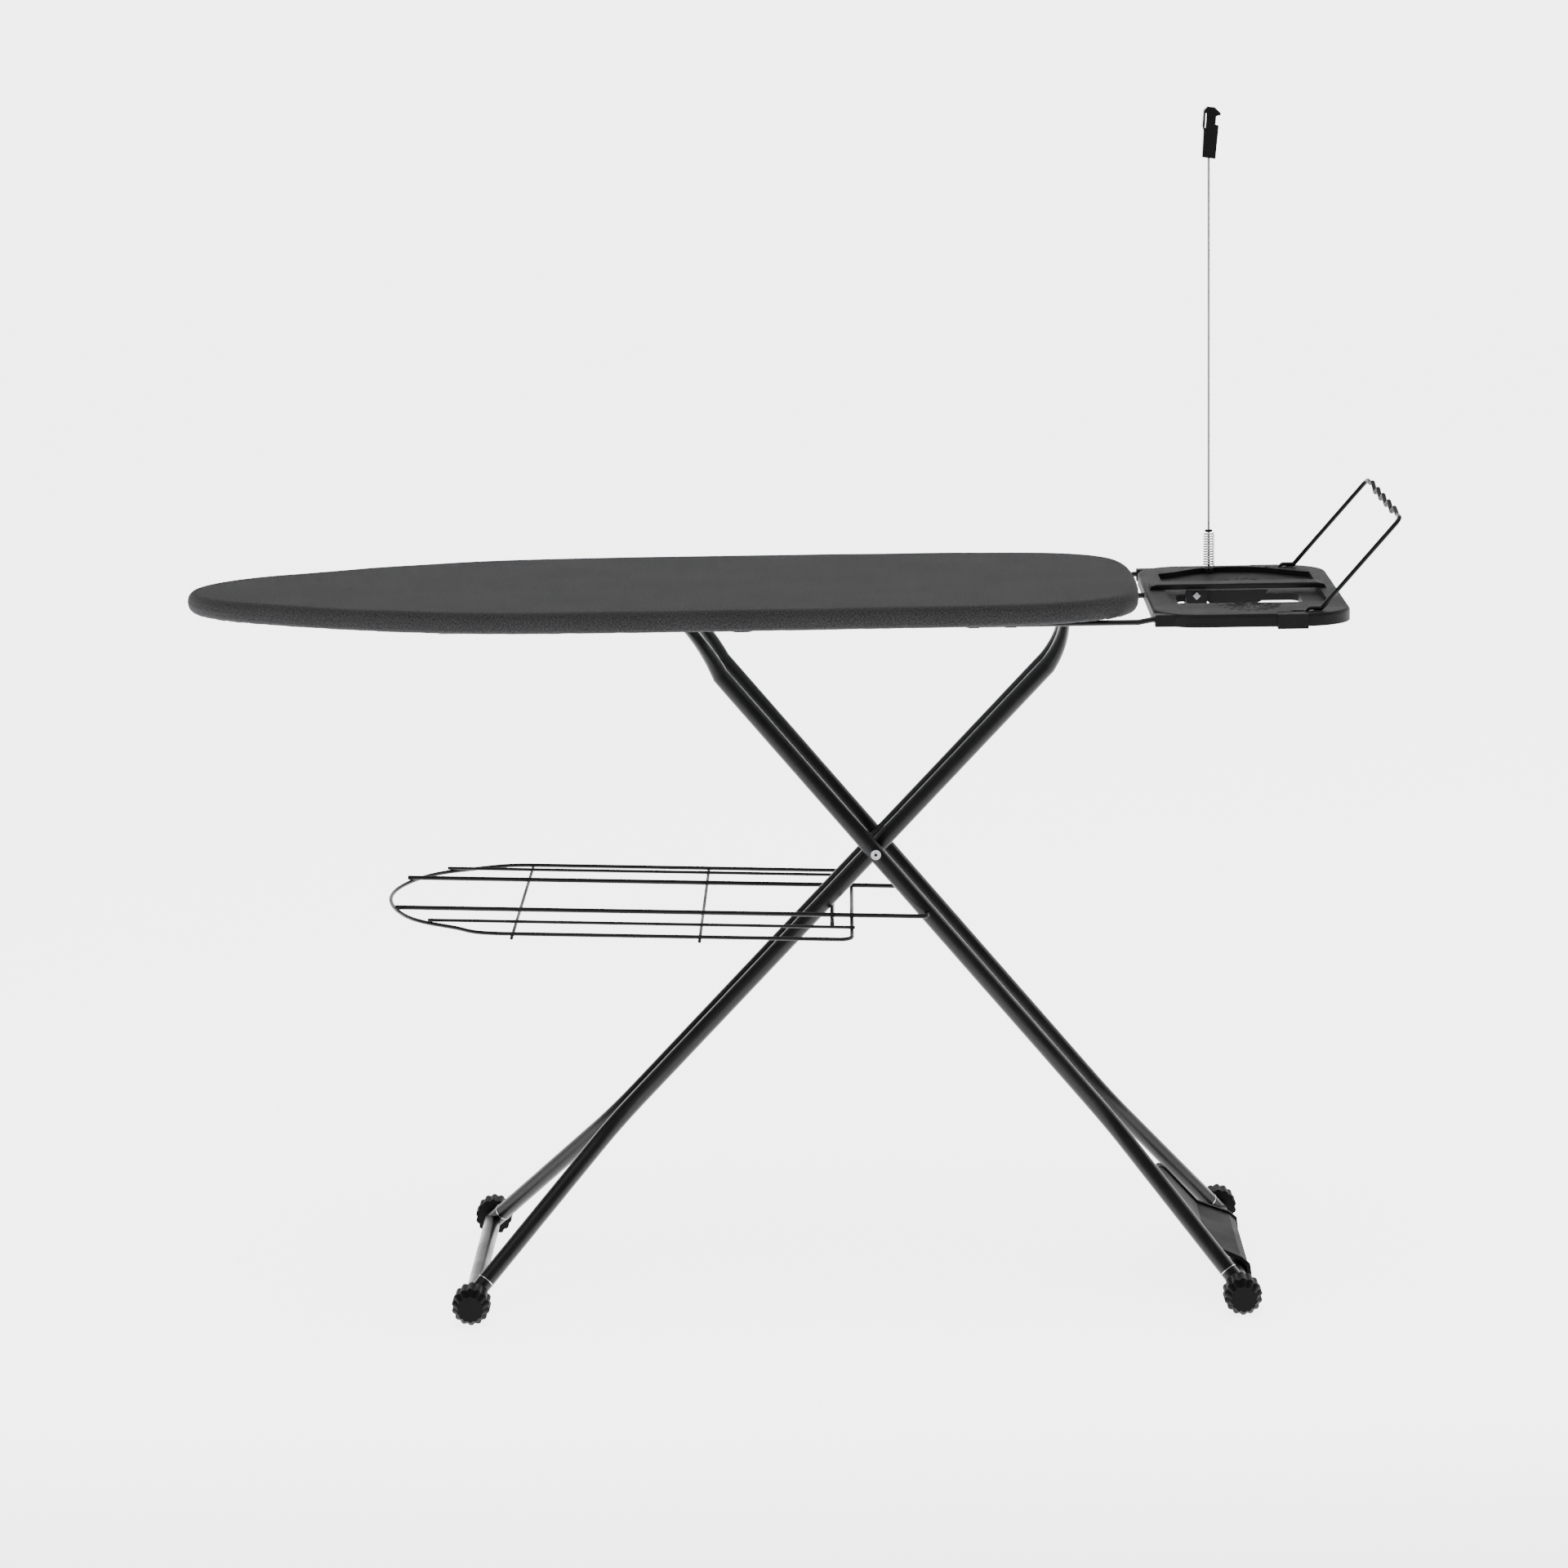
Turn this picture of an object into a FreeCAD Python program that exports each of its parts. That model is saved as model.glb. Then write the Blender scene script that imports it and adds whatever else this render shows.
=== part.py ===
"""Folding ironing board with an iron tray, a cord mast, a hanger loop and a wire shelf.

Millimetres. +Z is up, X runs from the pointed nose to the iron tray, Y runs across.
The model is drawn with the nose at x = 0 and moved to the middle of its length on export.
"""
import FreeCAD, Part
import math
import os

V = FreeCAD.Vector
os.makedirs("parts", exist_ok=True)

# ---- driving dimensions -------------------------------------------------------------
board_length = 1220.0
board_width = 478.0
board_thickness = 27.0
working_height = 924.0
cover_thickness = 1.2
pad_thickness = 7.0
deck_thickness = 1.0
rim_depth = 15.5
hem_width = 34.0
tube_diameter = 22.0
tube_wall = 1.2
outer_leg_spacing = 120.0
inner_leg_spacing = 48.0
foot_span = 415.0
cap_diameter = 49.0
cap_length = 40.0
cap_ribs = 14
cap_shoulder = 12.0
cap_face_share = 0.70
splay_share = 0.655
axle_diameter = 8.0
shelf_length = 600.0
shelf_width = 413.0
shelf_wire = 4.2
rail_wire = 5.8
frame_wire = 5.0
tray_length = 247.0
tray_width = 412.0
tray_thickness = 16.0
tray_step = 20.0
mast_height = 604.0
mast_wire = 3.4
loop_reach = 119.0
loop_rise = 112.0
loop_wire = 5.8

# ---- clearances ---------------------------------------------------------------------
running_gap = 0.05
side_gap = 0.3
loose_gap = 0.6
weld_gap = 0.02

# ---- derived positions --------------------------------------------------------------
half_width = board_width / 2
cover_bottom = working_height - board_thickness
pad_top = working_height - cover_thickness
deck_top = pad_top - pad_thickness
deck_bottom = deck_top - deck_thickness
rim_bottom = deck_top - rim_depth
axis_drop = 40.0
axis_z = working_height - axis_drop
hinge_x = 0.923 * board_length
rack_x = 0.520 * board_length
pivot_x = (hinge_x + rack_x) / 2
pivot_z = axis_z - 307.0 / 884.0 * axis_z
foot_b_x = pivot_x - 527.0
foot_a_x = pivot_x + 460.0
foot_z = cap_diameter / 2
tube_r = tube_diameter / 2
axle_r = axle_diameter / 2
outer_y = outer_leg_spacing / 2
inner_y = inner_leg_spacing / 2
cap_inner_y = foot_span / 2 - cap_length / 2
end_y = cap_inner_y + cap_length - cap_shoulder
foot_join_y = cap_inner_y - tube_r - 8.0
tray_x = board_length + 11.0
tray_top = working_height - tray_step
tray_bottom = tray_top - tray_thickness
tray_half = tray_width / 2
rod_r = 3.5
rod_z = cover_bottom - rod_r - side_gap
rod_y = tray_half - 18.0
clip_x = tray_x + 186.0
loop_y = tray_half - 22.0
loop_pin_z = tray_top - 5.0
mast_x = tray_x + 96.0
mast_y = tray_half - 23.0
overall_low = 0.0
overall_high = clip_x + loop_reach + loop_wire / 2
mid_x = (overall_low + overall_high) / 2


# ---- helpers ------------------------------------------------------------------------
def save(node, *solids):
    """Write the solids of one node to its STEP file, in the centred frame."""
    shape = solids[0] if len(solids) == 1 else Part.makeCompound(list(solids))
    moved = shape.copy()
    moved.translate(V(-mid_x, 0, 0))
    moved.exportStep("parts/" + node + ".step")


def box(x0, x1, y0, y1, z0, z1):
    """Axis-aligned block between two corners."""
    return Part.makeBox(x1 - x0, y1 - y0, z1 - z0, V(x0, y0, z0))


def bar(start, end, radius):
    """Round bar between two points."""
    axis = end - start
    return Part.makeCylinder(radius, axis.Length, start, axis)


def across(x, z, y0, y1, radius):
    """Round bar along Y."""
    return bar(V(x, y0, z), V(x, y1, z), radius)


def corner_path(points, bend):
    """Line through the points with a tangent arc of the given radius at each corner."""
    edges = []
    last = points[0]
    for i in range(1, len(points) - 1):
        back = points[i - 1] - points[i]
        ahead = points[i + 1] - points[i]
        half = back.getAngle(ahead) / 2
        back.normalize()
        ahead.normalize()
        middle = back + ahead
        middle.normalize()
        trim = bend / math.tan(half)
        start = points[i] + back * trim
        end = points[i] + ahead * trim
        apex = points[i] + middle * (bend / math.sin(half) - bend)
        edges.append(Part.makeLine(last, start))
        edges.append(Part.Arc(start, apex, end).toShape())
        last = end
    edges.append(Part.makeLine(last, points[-1]))
    return Part.Wire(edges)


def bent_bar(points, radius, bend):
    """Round bar bent through the points."""
    path = corner_path(points, bend)
    ring = Part.Wire(Part.makeCircle(radius, points[0], points[1] - points[0]))
    return path.makePipeShell([ring], True, False)


def mirrored(shape):
    """Copy of a shape on the other side of the middle plane."""
    return shape.mirror(V(0, 0, 0), V(0, 1, 0))


def both(shape):
    """The shape and its copy on the other side."""
    return [shape, mirrored(shape)]


def fused(*shapes):
    """One solid from several touching ones."""
    return shapes[0].fuse(list(shapes[1:])).removeSplitter()


def prism(points, z0, z1):
    """Straight block on a polygon in plan."""
    ring = [V(x, y, z0) for x, y in points]
    face = Part.Face(Part.makePolygon(ring + [ring[0]]))
    return face.extrude(V(0, 0, z1 - z0))


def side_plate(points, y0, y1):
    """Straight plate on a polygon drawn in X and Z."""
    ring = [V(x, y0, z) for x, z in points]
    face = Part.Face(Part.makePolygon(ring + [ring[0]]))
    return face.extrude(V(0, y1 - y0, 0))


def round_plate(x0, x1, y0, y1, z0, z1, radius):
    """Block with rounded upright corners."""
    block = box(x0, x1, y0, y1, z0, z1)
    upright = [e for e in block.Edges if abs(e.BoundBox.ZLength - (z1 - z0)) < 0.001]
    return block.makeFillet(radius, upright)


# ---- board outline ------------------------------------------------------------------
# share of the length, share of the half width
outline_shares = [
    (0.0, 0.0),
    (0.004, 0.135),
    (0.018, 0.275),
    (0.0475, 0.420),
    (0.085, 0.535),
    (0.123, 0.628),
    (0.165, 0.725),
    (0.209, 0.812),
    (0.260, 0.892),
    (0.311, 0.952),
    (0.360, 0.984),
    (0.420, 0.998),
    (0.510, 1.0),
    (0.640, 1.0),
    (0.762, 0.990),
    (0.840, 0.975),
    (0.893, 0.945),
    (0.930, 0.895),
    (0.960, 0.815),
    (0.980, 0.710),
    (0.992, 0.560),
    (0.998, 0.340),
    (1.0, 0.0),
]
upper_side = [(s * board_length, t * half_width) for s, t in outline_shares]
lower_side = [(x, -y) for x, y in reversed(upper_side[1:-1])]
outline_curve = Part.BSplineCurve()
outline_curve.interpolate([V(x, y, 0) for x, y in upper_side + lower_side], True)


def outline(inset, z):
    """Closed board outline moved inwards by the inset."""
    count = 72
    first = outline_curve.FirstParameter
    span = outline_curve.LastParameter - first
    length = outline_curve.toShape().Length
    points = []
    for i in range(count):
        u = outline_curve.parameterAtDistance(length * i / count, first)
        tangent = outline_curve.tangent(min(u, first + span))[0]
        here = outline_curve.value(u)
        points.append(V(here.x + tangent.y * inset, here.y - tangent.x * inset, z))
    curve = Part.BSplineCurve()
    curve.interpolate(points, True)
    return Part.Wire(curve.toShape())


def slab(inset, z0, z1, round_top=0.0, round_bottom=0.0):
    """Block on the board outline with rounded top and bottom edges."""
    block = Part.Face(outline(inset, z0)).extrude(V(0, 0, z1 - z0))
    if round_top > 0:
        rim = [e for e in block.Edges if e.BoundBox.ZMin > z1 - 0.01]
        block = block.makeFillet(round_top, rim)
    if round_bottom > 0:
        rim = [e for e in block.Edges if e.BoundBox.ZMax < z0 + 0.01]
        block = block.makeFillet(round_bottom, rim)
    return block


def half_width_at(x):
    """Half width of the board at a distance from the nose."""
    for (x0, y0), (x1, y1) in zip(upper_side, upper_side[1:]):
        if x0 <= x <= x1:
            return y0 + (y1 - y0) * (x - x0) / (x1 - x0)
    return 0.0


# ---- cover, pad and deck ------------------------------------------------------------
edge_round = 8.0
cover = slab(0, cover_bottom, working_height, edge_round, edge_round)
hollow = slab(cover_thickness, cover_bottom + cover_thickness, pad_top,
              edge_round - cover_thickness, edge_round - cover_thickness)
mouth = slab(hem_width, cover_bottom - 1, cover_bottom + 4)
save("cover", cover.cut(hollow).cut(mouth))

pad_inset = cover_thickness + 0.1
save("pad", slab(pad_inset, deck_top, pad_top - 0.05, edge_round - cover_thickness - 0.5))

deck_inset = cover_thickness + 3.0
vent_r = 3.5
vent_pitch = 34.0
vents = []
row = 0
vent_x = 60.0
while vent_x < board_length - 50:
    shift = vent_pitch / 2 if row % 2 else 0.0
    reach = int((half_width_at(vent_x) - 30) / vent_pitch)
    for k in range(-reach - 1, reach + 1):
        y = k * vent_pitch + shift
        if abs(y) < half_width_at(vent_x) - 26:
            centre = V(vent_x, y, deck_bottom)
            vents.append(Part.Wire(Part.makeCircle(vent_r, centre, V(0, 0, 1))))
    vent_x += vent_pitch * 0.87
    row += 1
sheet = Part.Face([outline(deck_inset, deck_bottom)] + vents)
sheet.validate()
deck_sheet = sheet.extrude(V(0, 0, deck_thickness))
rim = slab(deck_inset, rim_bottom, deck_bottom)
rim = rim.cut(slab(deck_inset + deck_thickness, rim_bottom - 1, deck_bottom + 1))
save("deck", fused(deck_sheet, rim))

# ---- slide rails under the deck -----------------------------------------------------
roller_r = 6.0
slot_r = roller_r + loose_gap
rail_t = 1.5
rail_web_y = outer_y + 29.0
rail_in_y = outer_y + 17.0
rail_end_x = rack_x + roller_r + side_gap
rail_start_x = rack_x - 0.25 * board_length
rail_low = axis_z - slot_r - rail_t
rail_top = axis_z + slot_r
web = box(rail_start_x, rail_end_x + rail_t, rail_web_y, rail_web_y + rail_t, rail_low, deck_bottom)
lip_low = box(rail_start_x, rail_end_x + rail_t, rail_in_y, rail_web_y, rail_low, rail_low + rail_t)
lip_top = box(rail_start_x, rail_end_x + rail_t, rail_in_y, rail_web_y, rail_top, rail_top + rail_t)
stop = box(rail_end_x, rail_end_x + rail_t, rail_in_y, rail_web_y, rail_low, rail_top)
flange = box(rail_start_x, rail_end_x + rail_t, rail_web_y + rail_t, rail_web_y + 16,
             deck_bottom - rail_t, deck_bottom)
save("slide_rails", *both(fused(web, lip_low, lip_top, stop, flange)))

# ---- hinge bracket for the inner leg ------------------------------------------------
flat_half = 14.0
cheek_y = inner_y + flat_half + 3.0
cheek_t = 2.5
cheek = side_plate([(hinge_x - 32, deck_bottom - 2), (hinge_x + 32, deck_bottom - 2),
                    (hinge_x + 10, axis_z), (hinge_x - 10, axis_z)], cheek_y, cheek_y + cheek_t)
cheek = cheek.fuse(across(hinge_x, axis_z, cheek_y, cheek_y + cheek_t, 10.0))
cheek = cheek.cut(across(hinge_x, axis_z, cheek_y - 1, cheek_y + cheek_t + 1, axle_r + running_gap))
bracket_web = box(hinge_x - 40, hinge_x + 40, -cheek_y - cheek_t, cheek_y + cheek_t,
                  deck_bottom - 2, deck_bottom)
save("hinge_bracket", fused(bracket_web, cheek, mirrored(cheek)))

bracket_rivets = []
for rx in (hinge_x - 34, hinge_x + 34):
    for ry in (-30.0, 30.0):
        bracket_rivets.append(bar(V(rx, ry, deck_bottom - 4), V(rx, ry, deck_bottom - 2), 4.0))
for rx in (rail_start_x + 20, rail_end_x - 20):
    for ry in (-rail_web_y - 9, rail_web_y + 9):
        low = deck_bottom - rail_t - 2
        bracket_rivets.append(bar(V(rx, ry, low), V(rx, ry, deck_bottom - rail_t), 4.0))
save("deck_rivets", *bracket_rivets)

# ---- height lever -------------------------------------------------------------------
lever_x = rack_x + 82.0
lever_low = cover_bottom - 11.0
lever_high = cover_bottom - 2.5
lever_pin_r = 3.0
block = round_plate(lever_x - 22, lever_x + 22, -20, 20, lever_high + 0.5, deck_bottom, 6)
pin_hole = bar(V(lever_x, 0, lever_high), V(lever_x, 0, deck_bottom - 4), lever_pin_r)
save("lever_block", block.cut(pin_hole))
pin = bar(V(lever_x, 0, lever_low - 1), V(lever_x, 0, deck_bottom - 4), lever_pin_r)
pin_head = bar(V(lever_x, 0, lever_low - 3), V(lever_x, 0, lever_low - 0.5), 6.5)
save("lever_pin", fused(pin, pin_head))
lever_reach = half_width - 66.0
hub = bar(V(lever_x, 0, lever_low), V(lever_x, 0, lever_high), 13.0)
arm = prism([(lever_x - 9, 0), (lever_x + 9, 0), (lever_x + 9, -lever_reach * 0.45),
             (lever_x + 14, -lever_reach * 0.6), (lever_x + 14, -lever_reach + 8),
             (lever_x + 8, -lever_reach), (lever_x - 8, -lever_reach),
             (lever_x - 14, -lever_reach + 8), (lever_x - 14, -lever_reach * 0.6),
             (lever_x - 9, -lever_reach * 0.45)], lever_low, lever_high)
bore = bar(V(lever_x, 0, lever_low - 1), V(lever_x, 0, lever_high + 1), lever_pin_r + running_gap)
save("height_lever", fused(hub, arm).cut(bore))


# ---- legs ---------------------------------------------------------------------------
def leg_tube(y, foot_x, top_x, kink, neck, pivot_hole, extra_holes):
    """One leg tube: crimped flat at the top, straight past the pivot, splayed at the foot."""
    pivot = V(pivot_x, y, pivot_z)
    foot = V(foot_x, y, foot_z)
    down = foot - pivot
    down.normalize()
    splay_start = pivot + down * (splay_share * (foot - pivot).Length)
    splay_end = V(foot_x, foot_join_y, foot_z)
    path = [kink, splay_start, splay_end]
    outer = bent_bar(path, tube_r, 160.0)
    inner = bent_bar(path, tube_r - tube_wall, 160.0)
    lean = kink - splay_start
    lean.normalize()
    top = V(top_x, y, axis_z)
    neck_rise = neck - kink
    neck_rise.normalize()
    top_rise = top - neck
    top_rise.normalize()
    sections = [Part.Wire(Part.makeCircle(tube_r, kink, lean))]
    for centre, thick, rise in ((neck, 7.6, neck_rise), (top + top_rise * 7.0, 6.0, top_rise)):
        axis = V(0, 1, 0)
        ring = Part.Ellipse(V(0, 0, 0), flat_half, thick).toShape()
        place = FreeCAD.Placement(centre, FreeCAD.Rotation(axis, V(0, 0, 1), rise, "ZXY"))
        ring.Placement = place
        sections.append(Part.Wire(ring))
    crimp = Part.makeLoft(sections, True, False)
    tube = outer.fuse(crimp).cut(inner)
    tube = tube.cut(across(foot_x, foot_z, -end_y, end_y, tube_r + weld_gap))
    tube = tube.cut(across(top_x, axis_z, y - 40, y + 40, axle_r))
    tube = tube.cut(across(pivot_x, pivot_z, y - 30, y + 30, pivot_hole))
    for hole in extra_holes:
        tube = tube.cut(hole)
    biggest = sorted(tube.Solids, key=lambda s: s.Volume)[-1]
    return biggest


def foot_cap(x):
    """Ribbed plastic cap on the end of a foot bar, hollow behind, with a sloping shoulder."""
    steps = cap_ribs * 6
    dips = (0.0, 0.6, 2.0, 2.0, 0.6, 0.0)

    def ring(reach, share):
        points = []
        for i in range(steps):
            angle = 2 * math.pi * (i + 0.5) / steps - math.pi / 2
            radius = (foot_z / math.cos(math.pi / steps) - dips[i % 6]) * share
            points.append(V(x + radius * math.cos(angle), cap_inner_y + reach,
                            foot_z + radius * math.sin(angle)))
        return Part.makePolygon(points + [points[0]])

    body = Part.Face(ring(0, 1.0)).extrude(V(0, cap_length - cap_shoulder, 0))
    shoulder = Part.makeLoft([ring(cap_length - cap_shoulder, 1.0), ring(cap_length, cap_face_share)],
                             True, True)
    socket = across(x, foot_z, cap_inner_y - 1, cap_inner_y + cap_length - cap_shoulder, tube_r)
    return fused(body, shoulder).cut(socket)


def foot_bar(x):
    """Hollow cross bar between the two caps of one leg."""
    full = across(x, foot_z, -end_y, end_y, tube_r)
    return full.cut(across(x, foot_z, -end_y - 1, end_y + 1, tube_r - tube_wall))


def weld_ring(y, foot_x):
    """Thin bright weld bead where a leg tube meets its foot bar."""
    pivot = V(pivot_x, y, pivot_z)
    foot = V(foot_x, y, foot_z)
    down = foot - pivot
    down.normalize()
    start = pivot + down * (splay_share * (foot - pivot).Length)
    end = V(foot_x, foot_join_y, foot_z)
    along = end - start
    along.normalize()
    place = end - along * (tube_r / math.sin(math.atan2(foot_join_y - y, 1.0)) + tube_r + 4.0)
    return bar(place, place + along * 1.0, tube_r + 0.4).cut(bar(place - along, place + along * 3, tube_r))


slope_b = (pivot_z - foot_z) / (pivot_x - foot_b_x)
slope_a = (pivot_z - foot_z) / (foot_a_x - pivot_x)
kink_z = pivot_z + 0.765 * (axis_z - pivot_z)
kink_b = V(pivot_x + (kink_z - pivot_z) / slope_b, inner_y, kink_z)
kink_a = V(pivot_x - (kink_z - pivot_z) / slope_a, outer_y, kink_z)

# shelf pivot on the outer leg and rest bar under the inner leg
shelf_pin_z = pivot_z - 78.0
shelf_pin_x = pivot_x + 78.0 / slope_a
rest_wire_r = 2.8
rail_y = outer_y + tube_r + rail_wire / 2 + 15.0
angle_b = math.atan(slope_b)
rest_z = pivot_z - 80.0
rest_x = pivot_x - 80.0 / slope_b + (tube_r + rest_wire_r) / math.sin(angle_b)

pin_r = rail_wire / 2
shelf_hole = across(shelf_pin_x, shelf_pin_z, outer_y, outer_y + 30, pin_r + running_gap)
pivot_r = 4.0
neck_b = V(hinge_x - 1.0, inner_y, axis_z - 26.0)
neck_a = V(rack_x + 20.0, outer_y, axis_z - 22.0)
tube_b = leg_tube(inner_y, foot_b_x, hinge_x, kink_b, neck_b, pivot_r + running_gap, [])
tube_a = leg_tube(outer_y, foot_a_x, rack_x, kink_a, neck_a, pivot_r, [shelf_hole])
save("inner_leg_tubes", *both(tube_b))
save("outer_leg_tubes", *both(tube_a))
save("inner_foot_bar", foot_bar(foot_b_x))
save("outer_foot_bar", foot_bar(foot_a_x))
save("inner_foot_caps", *both(foot_cap(foot_b_x)))
save("outer_foot_caps", *both(foot_cap(foot_a_x)))
save("inner_weld_rings", *both(weld_ring(inner_y, foot_b_x)))
save("outer_weld_rings", *both(weld_ring(outer_y, foot_a_x)))

# inner leg hinge axle with riveted heads outside the cheeks
axle_end = cheek_y + cheek_t + side_gap
hinge_axle = across(hinge_x, axis_z, -axle_end, axle_end, axle_r)
head = across(hinge_x, axis_z, axle_end, axle_end + 2.5, axle_r + 2.5)
save("hinge_axle", fused(hinge_axle, head, mirrored(head)))
spacer = across(hinge_x, axis_z, inner_y + flat_half + 0.2, cheek_y - side_gap, axle_r + 3)
spacer = spacer.cut(across(hinge_x, axis_z, inner_y, cheek_y, axle_r))
save("hinge_spacers", *both(spacer))

# outer leg slide axle with rollers in the rails
slide_end = rail_web_y - 1.0
save("slide_axle", across(rack_x, axis_z, -slide_end, slide_end, axle_r))
roller = across(rack_x, axis_z, outer_y + flat_half + 3.2, rail_web_y - 1.8, roller_r)
roller = roller.cut(across(rack_x, axis_z, outer_y, rail_web_y, axle_r))
save("slide_rollers", *both(roller))

# main pivot rivets and spacers between the tubes
eye_r = 2.0
rivet_out = outer_y + tube_r
rivet_in = inner_y - tube_r
shank = across(pivot_x, pivot_z, rivet_in - 1.0, rivet_out + 0.5, pivot_r)
outer_head = across(pivot_x, pivot_z, rivet_out + 0.05, rivet_out + 1.8, 6.5)
inner_head = across(pivot_x, pivot_z, rivet_in - 2.6, rivet_in - 0.6, 6.0)
eye = across(pivot_x, pivot_z, rivet_in - 5, rivet_out + 5, eye_r)
rivet = fused(shank, outer_head, inner_head).cut(eye)
save("pivot_rivets", *both(rivet))
bush = across(pivot_x, pivot_z, inner_y + tube_r + side_gap, outer_y - tube_r - weld_gap, 8.0)
bush = bush.cut(across(pivot_x, pivot_z, inner_y, outer_y, pivot_r))
save("pivot_spacers", *both(bush))

# moulded guard from between the outer leg's tubes over its foot bar
guard_t = 3.0
guard_rim = 2.5
rim_wide = 6.0
hood_r = tube_r + 9.5
guard_dir = V(foot_a_x - pivot_x, 0, foot_z - pivot_z)
guard_len = guard_dir.Length
guard_dir.normalize()
guard_up = V(-guard_dir.z, 0, guard_dir.x)
guard_near = 0.80 * guard_len
guard_bend = 0.93 * guard_len
guard_gap = 5.0
splay_at = splay_share * guard_len
splay_rate = (foot_join_y - outer_y) / (guard_len - splay_at)
near_half = outer_y + splay_rate * (guard_near - splay_at) - tube_r - guard_gap
far_half = foot_join_y - tube_r - 49.0


def leg_plane(along, side, lift):
    """Point beside the outer leg, measured down from its pivot and off its plane."""
    base = V(pivot_x, 0, pivot_z) + guard_dir * along + guard_up * lift
    return V(base.x, side, base.z)


def hood_points(radius):
    """Bends of the guard around the foot bar."""
    points = []
    for degrees in (118, 78, 38, -2, -38):
        turn = math.radians(degrees)
        points.append((guard_len + radius * math.cos(turn), radius * math.sin(turn)))
    return points


def guard_profile(depth):
    """One side of the guard's bent section at a depth below its outer surface."""
    return [(guard_near - 1, -5.5 - depth), (guard_bend, -3.5 - depth)] + hood_points(hood_r - depth)


def guard_layer(top, bottom, inset):
    """Layer of the guard between two depths, inside its plan less an inset."""
    section = guard_profile(top) + guard_profile(bottom)[::-1]
    ring = [leg_plane(along, -far_half, lift) for along, lift in section]
    layer = Part.Face(Part.makePolygon(ring + ring[:1])).extrude(V(0, 2 * far_half, 0))
    plan = []
    for degrees in range(0, 181, 15):
        turn = math.radians(degrees)
        plan.append((guard_near + 34.0 - (34.0 - inset) * math.sin(turn), (near_half - inset) * math.cos(turn)))
    plan += [(guard_len, -far_half + inset), (guard_len + 60, -far_half + inset),
             (guard_len + 60, far_half - inset), (guard_len, far_half - inset)]
    edge = [leg_plane(along, side, -60) for along, side in plan]
    return layer.common(Part.Face(Part.makePolygon(edge + edge[:1])).extrude(guard_up * 120))


guard = guard_layer(0, guard_rim + guard_t, 0).cut(guard_layer(-1, guard_rim, rim_wide))
fan = hood_points(hood_r - guard_rim - 1) + [(guard_len, 0)]
for side in (-0.5 * far_half, 0.5 * far_half):
    grip_ring = [leg_plane(along, side - 2, lift) for along, lift in fan]
    guard = guard.fuse(Part.Face(Part.makePolygon(grip_ring + grip_ring[:1])).extrude(V(0, 4, 0)))
guard = guard.cut(across(foot_a_x, foot_z, -far_half - 1, far_half + 1, tube_r + weld_gap))
save("foot_guard", guard.removeSplitter())

# rest bar for the shelf, welded under the inner leg's tubes
rest_half = rail_y + 28.0
rest = across(rest_x, rest_z, -rest_half, rest_half, rest_wire_r)
save("shelf_rest_bar", rest)

# ---- wire shelf ---------------------------------------------------------------------
shelf_tilt = math.atan2(rest_z + rest_wire_r + pin_r + side_gap - shelf_pin_z, shelf_pin_x - rest_x)


def on_shelf(back, y, lift=0.0):
    """Point on the shelf plane at a distance from its pivot towards the nose."""
    x = shelf_pin_x - back * math.cos(shelf_tilt) + lift * math.sin(shelf_tilt)
    z = shelf_pin_z + back * math.sin(shelf_tilt) + lift * math.cos(shelf_tilt)
    return V(x, y, z)


shelf_half = shelf_width / 2 - frame_wire / 2
shelf_near = 97.0
shelf_far = shelf_near + shelf_length
frame_lift = -(rail_wire + frame_wire) / 2 - weld_gap
long_lift = frame_lift + (frame_wire + shelf_wire) / 2 + weld_gap
cross_lift = frame_lift - (frame_wire + shelf_wire) / 2 - weld_gap
wire_end = 4.0
corner_r = 16.0
bow = shelf_far - 169.0
bow_points = [on_shelf(bow, shelf_half, frame_lift), on_shelf(shelf_far - 101, shelf_half * 0.875, frame_lift),
              on_shelf(shelf_far - 55, shelf_half * 0.72, frame_lift),
              on_shelf(shelf_far - 17, shelf_half * 0.43, frame_lift), on_shelf(shelf_far, 0, frame_lift)]
bow_points += [V(p.x, -p.y, p.z) for p in reversed(bow_points[:-1])]
bow_curve = Part.BSplineCurve()
forward = on_shelf(1, 0) - on_shelf(0, 0)
bow_curve.interpolate(Points=bow_points, InitialTangent=forward, FinalTangent=forward * -1)
half_path = [on_shelf(bow, shelf_half, frame_lift), on_shelf(shelf_near, shelf_half, frame_lift)]
side_path = [V(p.x, -p.y, p.z) for p in half_path] + half_path[::-1]
frame_path = Part.Wire([bow_curve.toShape()] + corner_path(side_path, corner_r).Edges)
frame_ring = Part.Wire(Part.makeCircle(frame_wire / 2, bow_points[0], forward))
shelf_frame = frame_path.makePipeShell([frame_ring], True, False)
save("shelf_frame", shelf_frame)


def bow_reach(y):
    """Distance from the shelf's pivot to its curved end at one side position."""
    first = bow_curve.FirstParameter
    last = (first + bow_curve.LastParameter) / 2
    for _ in range(40):
        halfway = (first + last) / 2
        if bow_curve.value(halfway).y > y:
            first = halfway
        else:
            last = halfway
    return (bow_curve.value(first) - on_shelf(0, 0, frame_lift)).dot(forward)


rails = []
for side in (1, -1):
    path = [on_shelf(bow_reach(rail_y) + wire_end, side * rail_y), on_shelf(0, side * rail_y),
            V(shelf_pin_x, side * (outer_y + 2), shelf_pin_z)]
    rails.append(bent_bar(path, pin_r, 6.0))
save("shelf_rails", *rails)

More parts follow.
